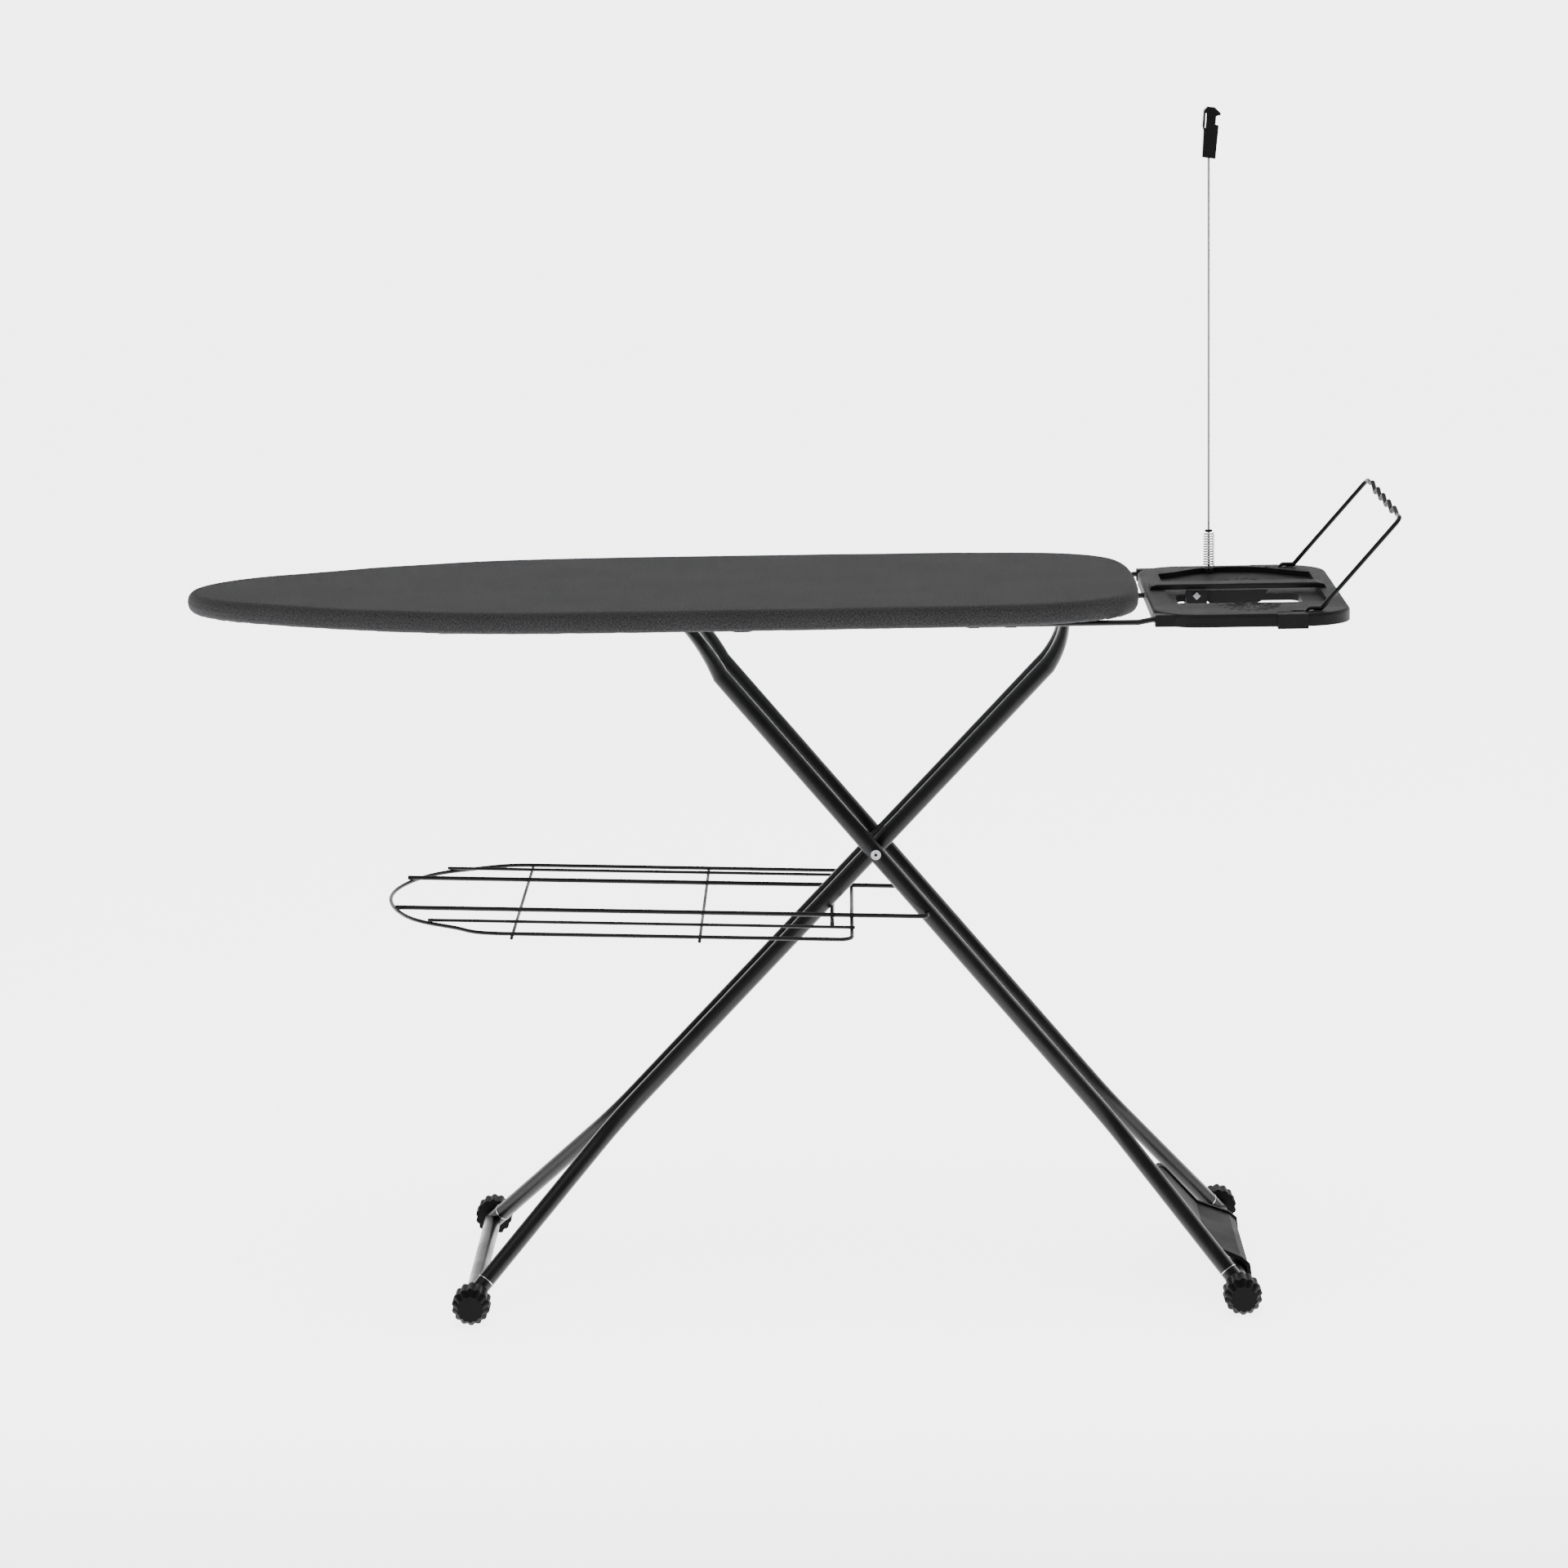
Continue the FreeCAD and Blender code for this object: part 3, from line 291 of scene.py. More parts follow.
# ---- materials ----------------------------------------------------------------------
def heathered_cover_cloth():
    """Polyester-cotton cover cloth, plain woven from light and dark grey yarn.

    The mixed yarn gives fine salt-and-pepper flecks, short along both thread directions, and the
    brushed face gives a soft light edge at low angles. Flecks finer than a millimetre don't show,
    so threads are drawn about twice as coarse as real ones.
    """
    settings = bpy.context.scene.board_cover
    material, tree, shader = new_material("heathered_cover_cloth")
    cut = add_node(tree, "ShaderNodeUVMap", {"uv_map": "flat_cut"}).outputs["UV"]
    # A fleck is two and a half spacings long and about a third as wide. A wave texture of scale 1
    # repeats every 0.31, so this thread scale draws threads 0.63 of the spacing apart.
    fleck_scale, thread_scale = 0.40 / settings.thread, 0.5 / settings.thread
    fleck = []
    for turn, stretch in ((0.0, (1.0, 3.2, 1.0)), (0.0, (3.2, 1.0, 1.0))):
        mapped = add_node(tree, "ShaderNodeMapping", {"Scale": stretch}, {"Vector": cut})
        fleck.append(add_node(tree, "ShaderNodeTexNoise",
                              {"Scale": fleck_scale, "Detail": 2.0, "Roughness": 0.6},
                              {"Vector": mapped.outputs["Vector"]}).outputs["Fac"])
    both = add_node(tree, "ShaderNodeMath", {"operation": "ADD"})
    tree.links.new(fleck[0], both.inputs[0])
    tree.links.new(fleck[1], both.inputs[1])
    spread = add_node(tree, "ShaderNodeMapRange",
                      {"From Min": 0.80, "From Max": 1.22, "To Min": 0.0, "To Max": 1.0},
                      {"Value": both.outputs["Value"]})
    cloud = add_node(tree, "ShaderNodeTexNoise", {"Scale": per_metre(111.1), "Detail": 2.0}, {"Vector": cut})
    mix = add_node(tree, "ShaderNodeMix", {"data_type": "RGBA"})
    tree.links.new(spread.outputs["Result"], mix.inputs[0])
    mix.inputs[6].default_value = linear(settings.yarn_dark)
    mix.inputs[7].default_value = linear(settings.yarn_light)
    tone = add_node(tree, "ShaderNodeMapRange",
                    {"From Min": 0.3, "From Max": 0.7, "To Min": 0.93, "To Max": 1.07},
                    {"Value": cloud.outputs["Fac"]})
    shade = add_node(tree, "ShaderNodeHueSaturation", {},
                     {"Color": mix.outputs[2], "Value": tone.outputs["Result"]})
    tree.links.new(shade.outputs["Color"], shader.inputs["Base Color"])
    cloth = add_node(tree, "ShaderNodeMath", {"operation": "MULTIPLY"})
    for socket, direction in enumerate("XY"):
        threads = add_node(tree, "ShaderNodeTexWave",
                           {"Scale": thread_scale, "Distortion": 1.2, "Detail": 1.0,
                            "bands_direction": direction}, {"Vector": cut})
        tree.links.new(threads.outputs["Fac"], cloth.inputs[socket])
    height = add_node(tree, "ShaderNodeMath", {"operation": "ADD"})
    tree.links.new(cloth.outputs["Value"], height.inputs[0])
    tree.links.new(spread.outputs["Result"], height.inputs[1])
    bump = add_node(tree, "ShaderNodeBump", {"Strength": 0.35, "Distance": 0.0004},
                    {"Height": height.outputs["Value"]})
    tree.links.new(bump.outputs["Normal"], shader.inputs["Normal"])
    set_sockets(shader, Roughness=0.95, Sheen_Weight=0.05, Sheen_Roughness=0.5,
                Sheen_Tint=(0.8, 0.8, 0.82, 1.0), Specular_IOR_Level=0.1)
    return material


def cotton_tape():
    """Folded cotton binding tape, ribbed across its length where the drawstring gathers it."""
    settings = bpy.context.scene.board_cover
    material, tree, shader = new_material("cotton_binding_tape")
    cut = add_node(tree, "ShaderNodeUVMap", {"uv_map": "flat_cut"}).outputs["UV"]
    # A wave texture of scale 1 repeats every 0.31, so this draws ribs about 2 mm apart.
    ribs = add_node(tree, "ShaderNodeTexWave", {"Scale": per_metre(6.25), "Distortion": 2.0, "Detail": 2.0},
                    {"Vector": cut})
    bump = add_node(tree, "ShaderNodeBump", {"Strength": 0.5, "Distance": 0.0005},
                    {"Height": ribs.outputs["Fac"]})
    # The ribs' crests are painted 1.8 times lighter than their furrows: painted highlight on the crests and
    # painted shade in the gathers.
    ramp = add_node(tree, "ShaderNodeMix", {"data_type": "RGBA"})
    tree.links.new(ribs.outputs["Fac"], ramp.inputs[0])
    ramp.inputs[6].default_value = linear(settings.binding)
    ramp.inputs[7].default_value = scaled(settings.binding, 1.8)
    tree.links.new(ramp.outputs[2], shader.inputs["Base Color"])
    tree.links.new(bump.outputs["Normal"], shader.inputs["Normal"])
    set_sockets(shader, Roughness=0.9, Sheen_Weight=0.2)
    return material


def needled_felt():
    """Needle-punched felt padding: matted fibres, cloudy tone and no gloss."""
    settings = bpy.context.scene.board_cover
    material, tree, shader = new_material("needled_felt")
    where = object_position(tree)
    fibres = add_node(tree, "ShaderNodeTexNoise",
                      {"Scale": per_metre(1.4286), "Detail": 4.0, "Roughness": 0.7}, {"Vector": where})
    mix = add_node(tree, "ShaderNodeMix", {"data_type": "RGBA"})
    tree.links.new(fibres.outputs["Fac"], mix.inputs[0])
    mix.inputs[6].default_value = scaled(settings.felt, 0.75)
    mix.inputs[7].default_value = linear(settings.felt)
    bump = add_node(tree, "ShaderNodeBump", {"Strength": 0.6, "Distance": 0.0006},
                    {"Height": fibres.outputs["Fac"]})
    tree.links.new(mix.outputs[2], shader.inputs["Base Color"])
    tree.links.new(bump.outputs["Normal"], shader.inputs["Normal"])
    set_sockets(shader, Roughness=1.0, Sheen_Weight=0.3)
    return material


def moulded_plastic(name, colour, roughness, grain, depth, fade=0.06, index=1.49):
    """Injection-moulded plastic with a spark-eroded grain: polypropylene, nylon or soft vinyl.

    The grain breaks up highlights into fine bumps, and the skin is slightly uneven in tone where
    the plastic flowed. These plastics have an IOR near 1.5; a coarse grain traps the light that would
    glance off it, so a lower index stands in for that.
    """
    material, tree, shader = new_material(name)
    where = object_position(tree)
    bumps = add_node(tree, "ShaderNodeTexVoronoi", {"Scale": 1.0 / grain, "feature": "SMOOTH_F1"},
                     {"Vector": where})
    flow = add_node(tree, "ShaderNodeTexNoise", {"Scale": per_metre(71.43), "Detail": 3.0}, {"Vector": where})
    tone = add_node(tree, "ShaderNodeMapRange",
                    {"From Min": 0.3, "From Max": 0.7, "To Min": 1 - fade, "To Max": 1 + fade},
                    {"Value": flow.outputs["Fac"]})
    base = add_node(tree, "ShaderNodeHueSaturation", {"Color": linear(colour)},
                    {"Value": tone.outputs["Result"]})
    gloss = add_node(tree, "ShaderNodeMapRange",
                     {"From Min": 0.3, "From Max": 0.7, "To Min": roughness - 0.05,
                      "To Max": roughness + 0.05}, {"Value": flow.outputs["Fac"]})
    bump = add_node(tree, "ShaderNodeBump", {"Strength": 0.4, "Distance": depth},
                    {"Height": bumps.outputs["Distance"]})
    tree.links.new(base.outputs["Color"], shader.inputs["Base Color"])
    tree.links.new(gloss.outputs["Result"], shader.inputs["Roughness"])
    tree.links.new(bump.outputs["Normal"], shader.inputs["Normal"])
    set_sockets(shader, IOR=index, Specular_IOR_Level=0.3)
    return material


def powder_coat(name, colour, roughness, ripple):
    """Plastic coat fused on steel, as baked polyester on tube or polyethylene on wire.

    It is satin, with the faint ripple called orange peel, and its gloss varies where it is rubbed.
    """
    material, tree, shader = new_material(name)
    where = object_position(tree)
    peel = add_node(tree, "ShaderNodeTexNoise", {"Scale": 1.0 / ripple, "Detail": 1.5}, {"Vector": where})
    wear = add_node(tree, "ShaderNodeTexNoise", {"Scale": per_metre(45.45), "Detail": 4.0, "Roughness": 0.65},
                    {"Vector": where})
    tone = add_node(tree, "ShaderNodeMapRange",
                    {"From Min": 0.3, "From Max": 0.7, "To Min": 0.9, "To Max": 1.1},
                    {"Value": wear.outputs["Fac"]})
    base = add_node(tree, "ShaderNodeHueSaturation", {"Color": linear(colour)},
                    {"Value": tone.outputs["Result"]})
    gloss = add_node(tree, "ShaderNodeMapRange",
                     {"From Min": 0.35, "From Max": 0.65, "To Min": roughness - 0.04,
                      "To Max": roughness + 0.07}, {"Value": wear.outputs["Fac"]})
    bump = add_node(tree, "ShaderNodeBump", {"Strength": 0.18, "Distance": 0.0003},
                    {"Height": peel.outputs["Fac"]})
    tree.links.new(base.outputs["Color"], shader.inputs["Base Color"])
    tree.links.new(gloss.outputs["Result"], shader.inputs["Roughness"])
    tree.links.new(bump.outputs["Normal"], shader.inputs["Normal"])
    set_sockets(shader, IOR=1.5, Specular_IOR_Level=0.2)
    return material


def zinc_plate():
    """Bright zinc plating on drawn steel: a light metal whose thin plate gives it a soft, cloudy haze."""
    settings = bpy.context.scene.board_metal
    material, tree, shader = new_material("bright_zinc_plate")
    where = object_position(tree)
    haze = add_node(tree, "ShaderNodeTexNoise", {"Scale": per_metre(3.846), "Detail": 3.0}, {"Vector": where})
    gloss = add_node(tree, "ShaderNodeMapRange",
                     {"From Min": 0.3, "From Max": 0.7, "To Min": 0.22, "To Max": 0.38},
                     {"Value": haze.outputs["Fac"]})
    tone = add_node(tree, "ShaderNodeMapRange",
                    {"From Min": 0.3, "From Max": 0.7, "To Min": 0.9, "To Max": 1.05},
                    {"Value": haze.outputs["Fac"]})
    base = add_node(tree, "ShaderNodeHueSaturation", {"Color": linear(settings.zinc)},
                    {"Value": tone.outputs["Result"]})
    tree.links.new(base.outputs["Color"], shader.inputs["Base Color"])
    tree.links.new(gloss.outputs["Result"], shader.inputs["Roughness"])
    set_sockets(shader, Metallic=1.0)
    return material


def galvanised_sheet():
    """Hot-dip galvanised steel sheet: grey metal with crystal spangles of different gloss."""
    settings = bpy.context.scene.board_metal
    material, tree, shader = new_material("galvanised_sheet")
    where = object_position(tree)
    spangle = add_node(tree, "ShaderNodeTexVoronoi", {"Scale": per_metre(10.526)}, {"Vector": where})
    tone = add_node(tree, "ShaderNodeMapRange", {"To Min": 0.82, "To Max": 1.05},
                    {"Value": spangle.outputs["Color"]})
    base = add_node(tree, "ShaderNodeHueSaturation", {"Color": linear(settings.sheet)},
                    {"Value": tone.outputs["Result"]})
    gloss = add_node(tree, "ShaderNodeMapRange", {"To Min": 0.34, "To Max": 0.55},
                     {"Value": spangle.outputs["Color"]})
    tree.links.new(base.outputs["Color"], shader.inputs["Base Color"])
    tree.links.new(gloss.outputs["Result"], shader.inputs["Roughness"])
    set_sockets(shader, Metallic=0.9)
    return material


# ---- cover, hem tape and felt -------------------------------------------------------
EDGE_POINTS = 640
# Where the drawstring gathers the cloth: share of the way round, spread and number of tucks.
GATHERS = ((0.0, 0.085, 34), (0.445, 0.055, 16), (0.555, 0.055, 16))


def cover_section(settings, place, total, top, bottom):
    """Inset, height and unrolled width of the rows down the cover's edge, for every point round it.

    The rows follow a quarter circle over the upper edge, a wall that bulges by half a sine wave,
    a quarter circle below, whose radius grows at the nose as a bell curve, and the hem.
    """
    nose = np.exp(-(np.minimum(place, total - place) / 0.16) ** 2)
    r_top = settings.top_round
    r_low = settings.bottom_round + settings.nose_round * nose
    inset, height, extra = [], [], []
    ones = np.ones(len(place))
    for turn in np.linspace(0, math.pi / 2, 9):
        inset.append((r_top - r_top * math.sin(turn)) * ones)
        height.append((top - r_top + r_top * math.cos(turn)) * ones)
        extra.append((r_top * turn - r_top) * ones)
    wall = (top - r_top) - (bottom + r_low)
    for share in np.linspace(0.125, 0.875, 7):
        bulge = 0.0004 * math.sin(math.pi * share)
        inset.append(-bulge * ones)
        height.append(top - r_top - wall * share)
        extra.append(r_top * (math.pi / 2 - 1) + wall * share)
    for turn in np.linspace(0, math.pi / 2, 8):
        inset.append(r_low * (1 - math.cos(turn)))
        height.append(bottom + r_low - r_low * math.sin(turn))
        extra.append(r_top * (math.pi / 2 - 1) + wall + r_low * turn)
    reach = settings.hem - r_low
    for share in np.linspace(0.1, 1.0, 9):
        inset.append(r_low + reach * share)
        height.append((bottom + 0.0006 * math.sin(math.pi * share)) * ones)
        extra.append(r_top * (math.pi / 2 - 1) + wall + r_low * math.pi / 2 + reach * share)
    return np.array(inset), np.array(height), np.array(extra)


def furrows(arc, down, total):
    """Depth, as a share, of the furrows that the drawstring pulls across the cloth's edge.

    Each is a bell curve of the distance along the edge, slanted as it runs down. Narrow deep ones
    crowd where the edge turns, and wide shallow ones lie all the way round.
    """
    rng = np.random.default_rng(11)
    furrow = np.zeros(arc.shape)

    def bell(where, slant, width):
        away = (arc - where - slant * down + total / 2) % total - total / 2
        return np.exp(-(away / width) ** 2)

    for centre, spread, count in GATHERS:
        for where, width, slant, deep in zip(rng.normal(total * centre, spread, count),
                                             rng.uniform(0.0013, 0.0030, count),
                                             rng.uniform(-0.55, 0.55, count),
                                             rng.uniform(0.35, 1.0, count)):
            furrow += 0.9 * deep * bell(where, slant, width)
    for where, width, slant in zip(rng.uniform(0, total, 150), rng.uniform(0.003, 0.008, 150),
                                   rng.uniform(-0.3, 0.3, 150)):
        furrow += 0.16 * bell(where, slant, width)
    return furrow


def build_cover(settings):
    """The cloth: rows from the middle line out over the top, round the edge and in under the hem."""
    top, bottom = high("cover")[2], low("cover")[2]
    edge, normal, place, total = board_outline(EDGE_POINTS)
    inset, height, extra = cover_section(settings, place, total, top, bottom)
    plan = edge[None] - normal[None] * inset[..., None]
    cut = edge[None] + normal[None] * extra[..., None]

    # Across the top the rows lie closer together towards the edge.
    share = np.linspace(0, 1, 27)[:-1][:, None, None] ** 0.85
    inner = spine(edge)[None] * (1 - share) + plan[:1] * share
    flat = np.zeros(inner.shape[:2])
    plan = np.concatenate([inner, plan])
    cut = np.concatenate([inner, cut])
    z = np.concatenate([flat + top, height])

    # The padding makes the top very slightly uneven.
    soft = waves(plan[..., 0], plan[..., 1], 5, (0.07, 0.22), 9)
    on_top = np.clip((z - (top - 0.004)) / 0.004, 0, 1)
    z = z - on_top * 0.00025 * (1 + np.tanh(soft))

    # Tucks push the cloth in on the wall and up on the underside, and fade out towards the top.
    down = np.concatenate([flat, extra])
    ramp = np.clip((down - 0.012) / 0.018, 0, 1) ** 1.3
    arc = np.broadcast_to(place[None], plan.shape[:2])
    ripple = waves(arc, np.zeros_like(arc), 3, (0.03, 0.09), 7) * 0.00035 * ramp
    depth = settings.tuck_depth * np.minimum(furrows(arc, down, total), 1.4) * ramp
    under = np.clip((bottom + 0.004 - z) / 0.004, 0, 1)
    plan = plan - normal[None] * ((depth + ripple) * (1 - under))[..., None]
    z = z + depth * under * 0.8 + np.abs(ripple) * under

    cover = make_piece("cover_cloth", np.concatenate([plan, z[..., None]], -1),
                       grid_faces(len(plan), len(edge)), heathered_cover_cloth(), uv=cut, merge=1e-6)
    wall_modifier = cover.modifiers.new("cloth", "SOLIDIFY")
    wall_modifier.thickness = settings.cloth
    wall_modifier.offset = -1.0
    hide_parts("cover")
    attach(cover, "board")


def build_hem_tape(settings):
    """The tape: an oval tube carried round the cloth's inner edge, pinched by its drawstring.

    Both of its half widths swell and shrink as a sine wave along the edge, plus a few seeded waves.
    """
    edge, normal, place, _ = board_outline(EDGE_POINTS)
    sides = np.linspace(0, 2 * math.pi, 13)[:-1]
    around = place[None]
    pinch = (1 + 0.16 * np.sin(around * 2 * math.pi / 0.0075)
             + 0.1 * waves(around, around, 8, (0.01, 0.03), 5))
    wide, thick = 0.0048 * pinch, 0.0013 * pinch
    line = edge - normal * settings.hem
    centre_z = low("cover")[2] + 0.0022
    tape = np.concatenate([
        line[None] + normal[None] * (wide * np.cos(sides)[:, None])[..., None],
        (centre_z + thick * np.sin(sides)[:, None])[..., None]], -1)
    tape_uv = np.stack([np.broadcast_to(around, tape.shape[:2]),
                        np.broadcast_to(sides[:, None] * 0.002, tape.shape[:2])], -1)
    binding = make_piece("hem_tape", tape, grid_faces(len(sides), len(edge), wrap_rows=True, flip=True),
                         cotton_tape(), uv=tape_uv)
    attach(binding, "board")


def build_felt(settings):
    """The felt: a flat slab with a rim of half a circle, closed along the middle line on both faces."""
    felt_low, felt_high, top = low("pad")[2], high("pad")[2], high("cover")[2]
    edge, normal, _, _ = board_outline(EDGE_POINTS // 2)
    middle = spine(edge)
    thick = felt_high - felt_low
    rim = np.linspace(0, math.pi, 12)
    level = (felt_low + felt_high) / 2 + thick / 2 * np.cos(rim)
    # The cloth rounds off above: the rim stays its thickness and a little more inside that curve.
    r_top = settings.top_round
    rise = np.clip(level - (top - r_top), 0.0, r_top)
    under_cloth = r_top - np.sqrt(r_top ** 2 - rise ** 2) + settings.cloth + 0.0006
    inset = np.maximum(0.0024 + thick / 2 * (1 - np.sin(rim)), under_cloth)
    band = edge[None] - normal[None] * inset[:, None, None]
    share = np.linspace(0, 1, 11)[:-1][:, None, None]
    upper = middle[None] * (1 - share) + band[:1] * share
    lower = middle[None] * (1 - share) + band[-1:] * share
    plan = np.concatenate([upper, band, lower[::-1]])
    z = np.concatenate([np.full(upper.shape[:2], level[0]),
                        np.broadcast_to(level[:, None], band.shape[:2]),
                        np.full(lower.shape[:2], level[-1])])
    on_top = z > level[-1] + thick / 2
    z = z + 0.00005 * waves(plan[..., 0], plan[..., 1], 21, (0.03, 0.1), 6) * on_top
    felt = make_piece("felt_padding", np.concatenate([plan, z[..., None]], -1),
                      grid_faces(len(plan), len(edge)), needled_felt(), merge=1e-6)
    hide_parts("pad")
    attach(felt, "board")


# ---- operators ----------------------------------------------------------------------
class BOARD_OT_cover(bpy.types.Operator):
    """Build the gathered cloth cover with its hem tape and the felt under it"""
    bl_idname = "board.cover"
    bl_label = "Cover and Padding"

    def execute(self, context):
        settings = context.scene.board_cover
        build_cover(settings)
        build_hem_tape(settings)
        build_felt(settings)
        return {"FINISHED"}


class BOARD_OT_tray(bpy.types.Operator):
    """Finish the iron tray with its clips, socket and clamp, and add its grip ribs"""
    bl_idname = "board.tray"
    bl_label = "Iron Tray"

    def execute(self, context):
        settings = context.scene.board_moulding
        plastic = moulded_plastic("moulded_polypropylene_tray", settings.tray, 0.58, settings.grain,
                                  0.00022, index=1.25)
        dress(plastic, "tray", "tray_grip_bar", "loop_clips", "mast_socket", "tray_clamp", "mast_ball",
              "spring_seat")
        middle_x, top = low("tray")[0] + 0.123, high("tray")[2]

        # Half an ellipse of fanned ribs: height is a wave of the angle or of the radius, whichever
        # is higher, faded at the rim, the centre and both ends.
        angle, radius = np.meshgrid(np.linspace(0, math.pi, 145), np.linspace(0.02, 1, 25), indexing="ij")
        fan = np.cos(angle * 22 + 3 * np.sin(radius * 7)) * 0.5 + 0.5
        ring = np.cos(radius * 2 * math.pi * 4) * 0.5 + 0.5
        fade = np.clip((1 - radius) / 0.08, 0, 1) * np.clip(radius / 0.1, 0, 1)
        fade = fade * np.clip(angle / 0.06, 0, 1) * np.clip((math.pi - angle) / 0.06, 0, 1)
        sunk = 0.00015
        rise = settings.rib_height * np.maximum(fan ** 2, 0.75 * ring ** 3) * fade - sunk
        for name, y, level, half_x, half_y in (("tray_ribs_rear", 0.078, -0.0070, 0.046, 0.064),
                                               ("tray_ribs_front", -0.118, 0.0, 0.043, -0.062)):
            points = np.stack([middle_x + half_x * radius * np.cos(angle),
                               y + half_y * radius * np.sin(angle), top + level + rise], -1)
            faces = grid_faces(*angle.shape, wrap_columns=False, flip=half_y > 0)
            ribs = make_piece(name, points, faces, plastic)
            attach(ribs, "board")
        return {"FINISHED"}


class BOARD_OT_mast(bpy.types.Operator):
    """Finish the mast, its clip, the hanger loop's sleeve and the plated pins, rivets, screw and welds"""
    bl_idname = "board.mast"
    bl_label = "Mast, Sleeve and Plated Parts"

    def execute(self, context):
        settings = context.scene.board_moulding
        dress(zinc_plate(), "mast_rod", "mast_spring", "clamp_screw", "pivot_rivets", "inner_weld_rings",
              "outer_weld_rings", "hinge_axle", "slide_axle", "deck_rivets", "lever_pin")
        dress(moulded_plastic("glossy_moulded_nylon", settings.clip, 0.2, 0.004, 0.00005, 0.03), "cord_clip")
        dress(moulded_plastic("soft_vinyl_sleeve", settings.sleeve, 0.6, 0.0016, 0.0001, index=1.3),
              "hanger_bar")
        return {"FINISHED"}


class BOARD_OT_frame(bpy.types.Operator):
    """Finish the legs, feet, deck, lever, shelf, rods and hanger loop"""
    bl_idname = "board.frame"
    bl_label = "Legs, Feet and Shelf"

    def execute(self, context):
        moulding = context.scene.board_moulding
        metal = context.scene.board_metal
        dress(powder_coat("satin_black_powder_coat", metal.powder, 0.34, 0.0022), "inner_leg_tubes",
              "outer_leg_tubes", "inner_foot_bar", "outer_foot_bar", "tray_rods", "centre_rod",
              "hanger_loop", "shelf_rest_bar", "rod_saddles")
        dress(powder_coat("polyethylene_wire_coat", metal.wire, 0.42, 0.003), "shelf_frame", "shelf_rails",
              "shelf_long_wires", "shelf_cross_wires")
        dress(moulded_plastic("moulded_polypropylene_feet", moulding.cap, 0.62, moulding.grain, 0.0002,
                              index=1.2),
              "inner_foot_caps", "outer_foot_caps", "foot_guard", "height_lever", "lever_block",
              "pivot_spacers", "hinge_spacers", "slide_rollers")
        dress(galvanised_sheet(), "deck", "slide_rails", "hinge_bracket")
        return {"FINISHED"}


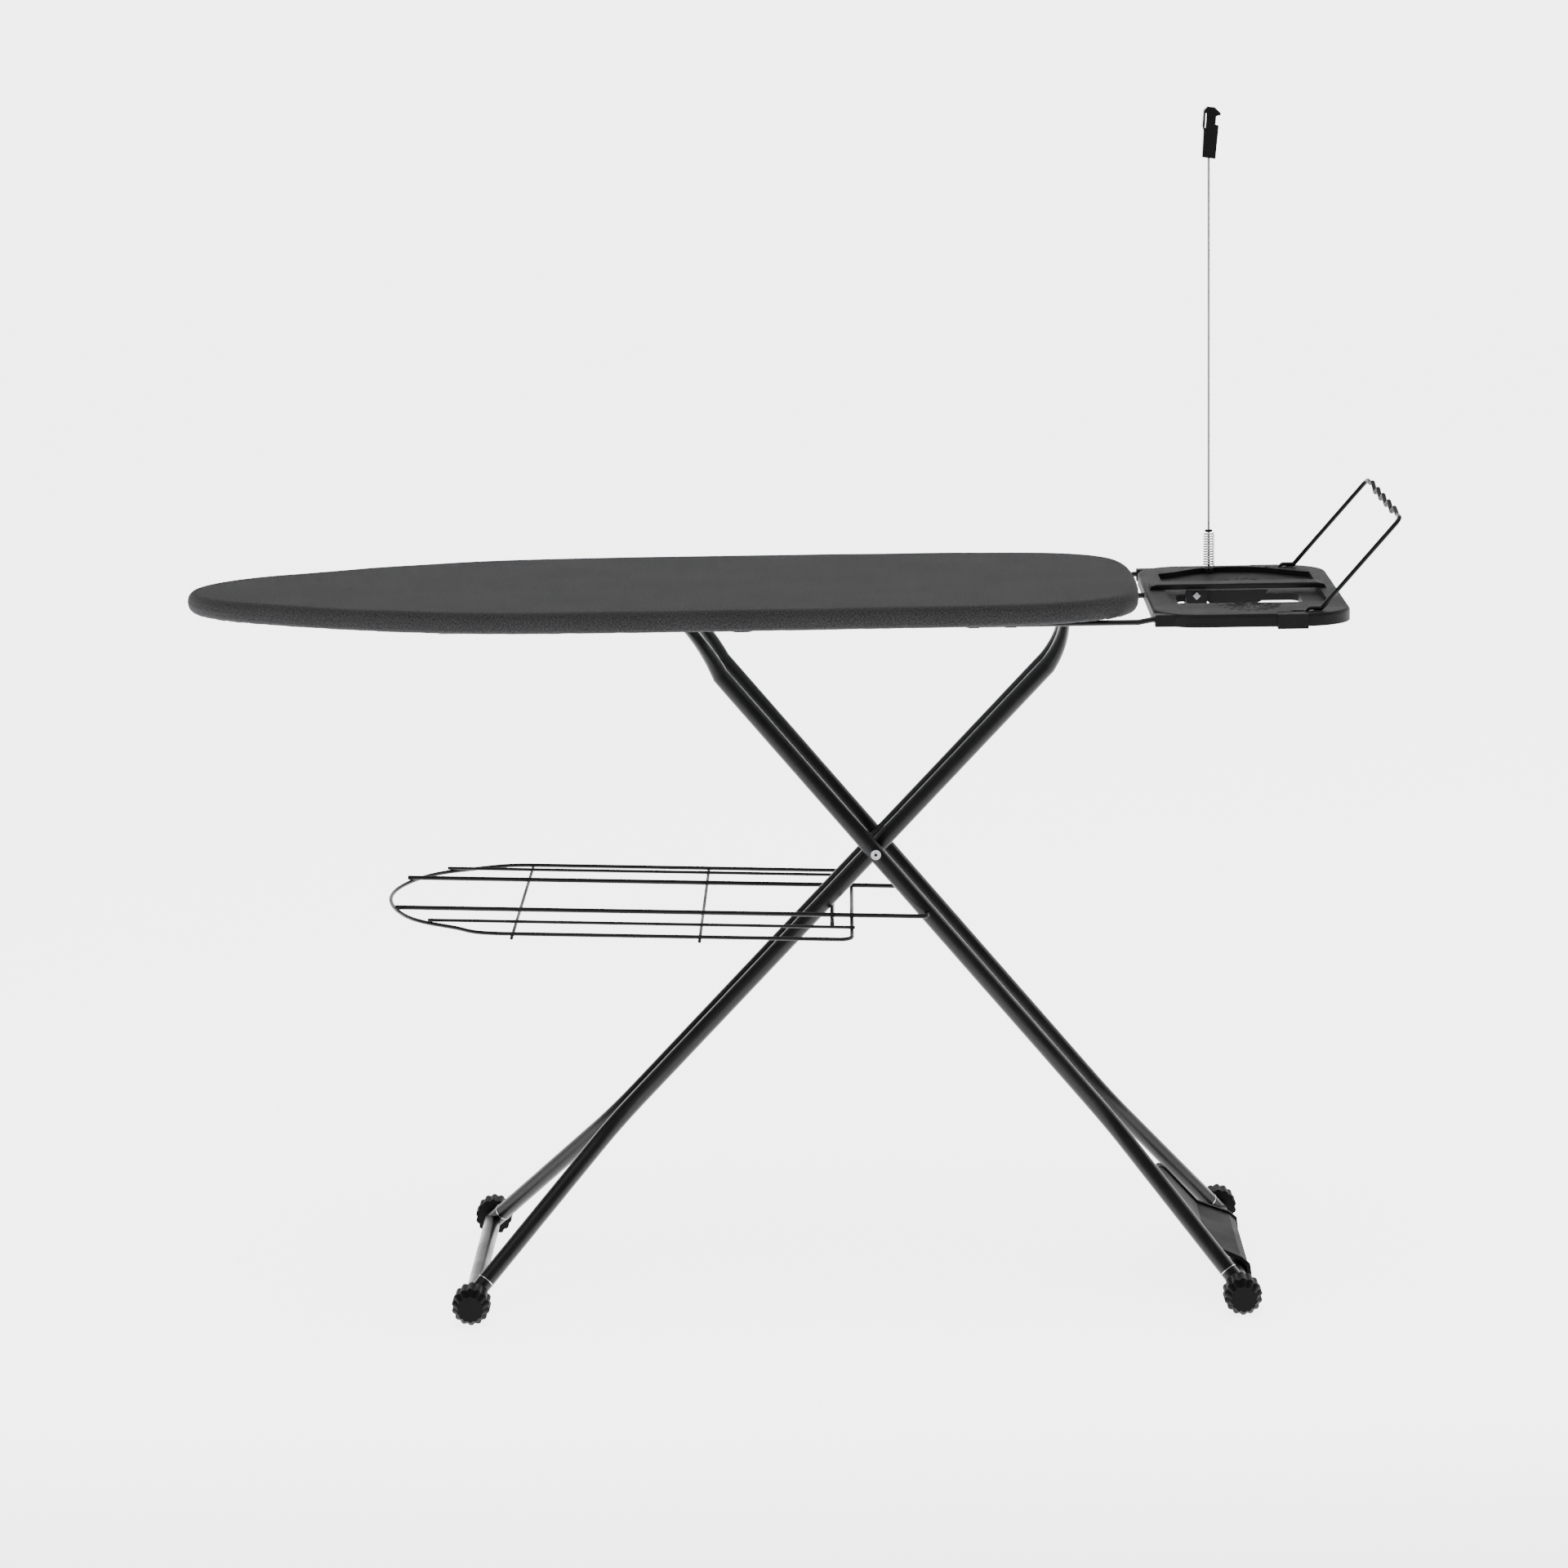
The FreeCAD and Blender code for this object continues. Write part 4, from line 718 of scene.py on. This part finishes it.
class BOARD_OT_stage(bpy.types.Operator):
    """Set the floor, the soft lights and the camera"""
    bl_idname = "board.stage"
    bl_label = "Stage"

    def execute(self, context):
        settings = context.scene.board_stage
        scene = context.scene
        material, tree, shader = new_material("glowing_paper_sweep")
        where = add_node(tree, "ShaderNodeSeparateXYZ", {}, {"Vector": object_position(tree)})
        # The sweep glows as a painted backlight: its emission runs from 0.2 at the front to the backlight
        # setting behind the board, and fades out up the wall.
        glow = add_node(tree, "ShaderNodeMapRange",
                        {"From Min": -2.6, "From Max": -0.4, "To Min": 0.2, "To Max": settings.glow,
                         "interpolation_type": "SMOOTHSTEP"}, {"Value": where.outputs["Y"]})
        fade = add_node(tree, "ShaderNodeMapRange",
                        {"From Min": 1.5, "From Max": 2.6, "To Min": 1.0, "To Max": 0.04,
                         "interpolation_type": "SMOOTHSTEP"}, {"Value": where.outputs["Z"]})
        painted_backlight = add_node(tree, "ShaderNodeMath", {"operation": "MULTIPLY"})
        tree.links.new(glow.outputs["Result"], painted_backlight.inputs[0])
        tree.links.new(fade.outputs["Result"], painted_backlight.inputs[1])
        tree.links.new(painted_backlight.outputs["Value"], shader.inputs["Emission Strength"])
        set_sockets(shader, Base_Color=linear(settings.floor), Emission_Color=(1.0, 1.0, 1.0, 1.0),
                    Roughness=0.9, Specular_IOR_Level=0.0)

        # Sweep: flat floor that turns up in a quarter circle into a wall behind the board.
        turn = np.linspace(0, math.pi / 2, 13)
        run = np.concatenate([[-14.0, -7.0, -3.0, 0.0, 3.0], 6.0 + 5.0 * np.sin(turn), [11.0]])
        rise = np.concatenate([np.zeros(5), 5.0 * (1 - np.cos(turn)), [14.0]])
        y, x = np.meshgrid(run, np.linspace(-16, 16, 9), indexing="ij")
        z = np.broadcast_to(rise[:, None], x.shape) - 0.0006
        floor = make_piece("floor", np.stack([x, y, z], -1),
                           grid_faces(*x.shape, wrap_columns=False), material)

        world = bpy.data.worlds.new("studio")
        scene.world = world
        world.use_nodes = True
        set_sockets(world.node_tree.nodes["Background"], Color=(1.0, 1.0, 1.0, 1.0), Strength=0.35)
        for name, place, aim, size, power in (
                ("overhead", (-0.3, -0.6, 4.2), (0.0, 0.0, 0.6), settings.lamp, 120.0),
                ("front_fill", (-3.2, -5.0, 2.2), (0.0, 0.0, 0.6), 2.6, 16.0),
                ("side_rim", (4.2, 1.8, 2.6), (0.0, 0.0, 0.7), 2.0, 60.0)):
            lamp = bpy.data.lights.new(name, "AREA")
            lamp.size = size
            lamp.energy = power
            holder = bpy.data.objects.new(name, lamp)
            scene.collection.objects.link(holder)
            holder.matrix_world = looking(np.array(place), np.array(aim) - np.array(place), 0.0)

        lens = bpy.data.cameras.new("camera")
        lens.sensor_width = 36.0
        lens.lens = 106.586
        lens.clip_end = 200.0
        camera = bpy.data.objects.new("camera", lens)
        scene.collection.objects.link(camera)
        yaw, pitch, roll = -0.0156861, 0.1958904, -0.0182815
        ahead = np.array([math.sin(yaw) * math.cos(pitch), math.cos(yaw) * math.cos(pitch), -math.sin(pitch)])
        camera.matrix_world = looking(np.array([0.08595, -5.9038, 1.8292]), ahead, roll)
        scene.camera = camera
        return {"FINISHED"}


def looking(place, ahead, roll):
    """Matrix at a place whose -Z looks ahead, with Y up and then rolled."""
    ahead = ahead / np.linalg.norm(ahead)
    side = np.cross(ahead, (0.0, 0.0, 1.0))
    side /= np.linalg.norm(side)
    up = np.cross(side, ahead)
    c, s = math.cos(roll), math.sin(roll)
    right, above = c * side + s * up, -s * side + c * up
    rows = np.stack([right, above, -ahead, place], 1)
    return Matrix([list(map(float, row)) for row in rows] + [[0.0, 0.0, 0.0, 1.0]])


class BOARD_PT_panel(bpy.types.Panel):
    """Lists the pieces of the ironing board"""
    bl_label = "Ironing Board"
    bl_idname = "BOARD_PT_panel"
    bl_space_type = "VIEW_3D"
    bl_region_type = "UI"
    bl_category = "Ironing Board"

    def draw(self, context):
        for step in STEPS:
            self.layout.operator(step.bl_idname)
        for group in GROUPS:
            holder = getattr(context.scene, group)
            box = self.layout.box()
            for key in holder.bl_rna.properties.keys():
                if key not in ("rna_type", "name"):
                    box.prop(holder, key)


STEPS = (BOARD_OT_cover, BOARD_OT_tray, BOARD_OT_mast, BOARD_OT_frame, BOARD_OT_stage)
GROUPS = {"board_cover": BoardCoverSettings, "board_moulding": BoardMouldingSettings,
          "board_metal": BoardMetalSettings, "board_stage": BoardStageSettings}


def register():
    """Registers the settings, the operators and the panel."""
    for name, group in GROUPS.items():
        bpy.utils.register_class(group)
        setattr(bpy.types.Scene, name, bpy.props.PointerProperty(type=group))
    for item in STEPS + (BOARD_PT_panel,):
        bpy.utils.register_class(item)


def unregister():
    """Takes everything that register added away again."""
    for item in (BOARD_PT_panel,) + STEPS[::-1]:
        bpy.utils.unregister_class(item)
    for name, group in GROUPS.items():
        delattr(bpy.types.Scene, name)
        bpy.utils.unregister_class(group)


def main():
    """Builds every piece in order."""
    register()
    bpy.ops.board.cover()
    bpy.ops.board.tray()
    bpy.ops.board.mast()
    bpy.ops.board.frame()
    bpy.ops.board.stage()


if __name__ == "__main__":
    main()
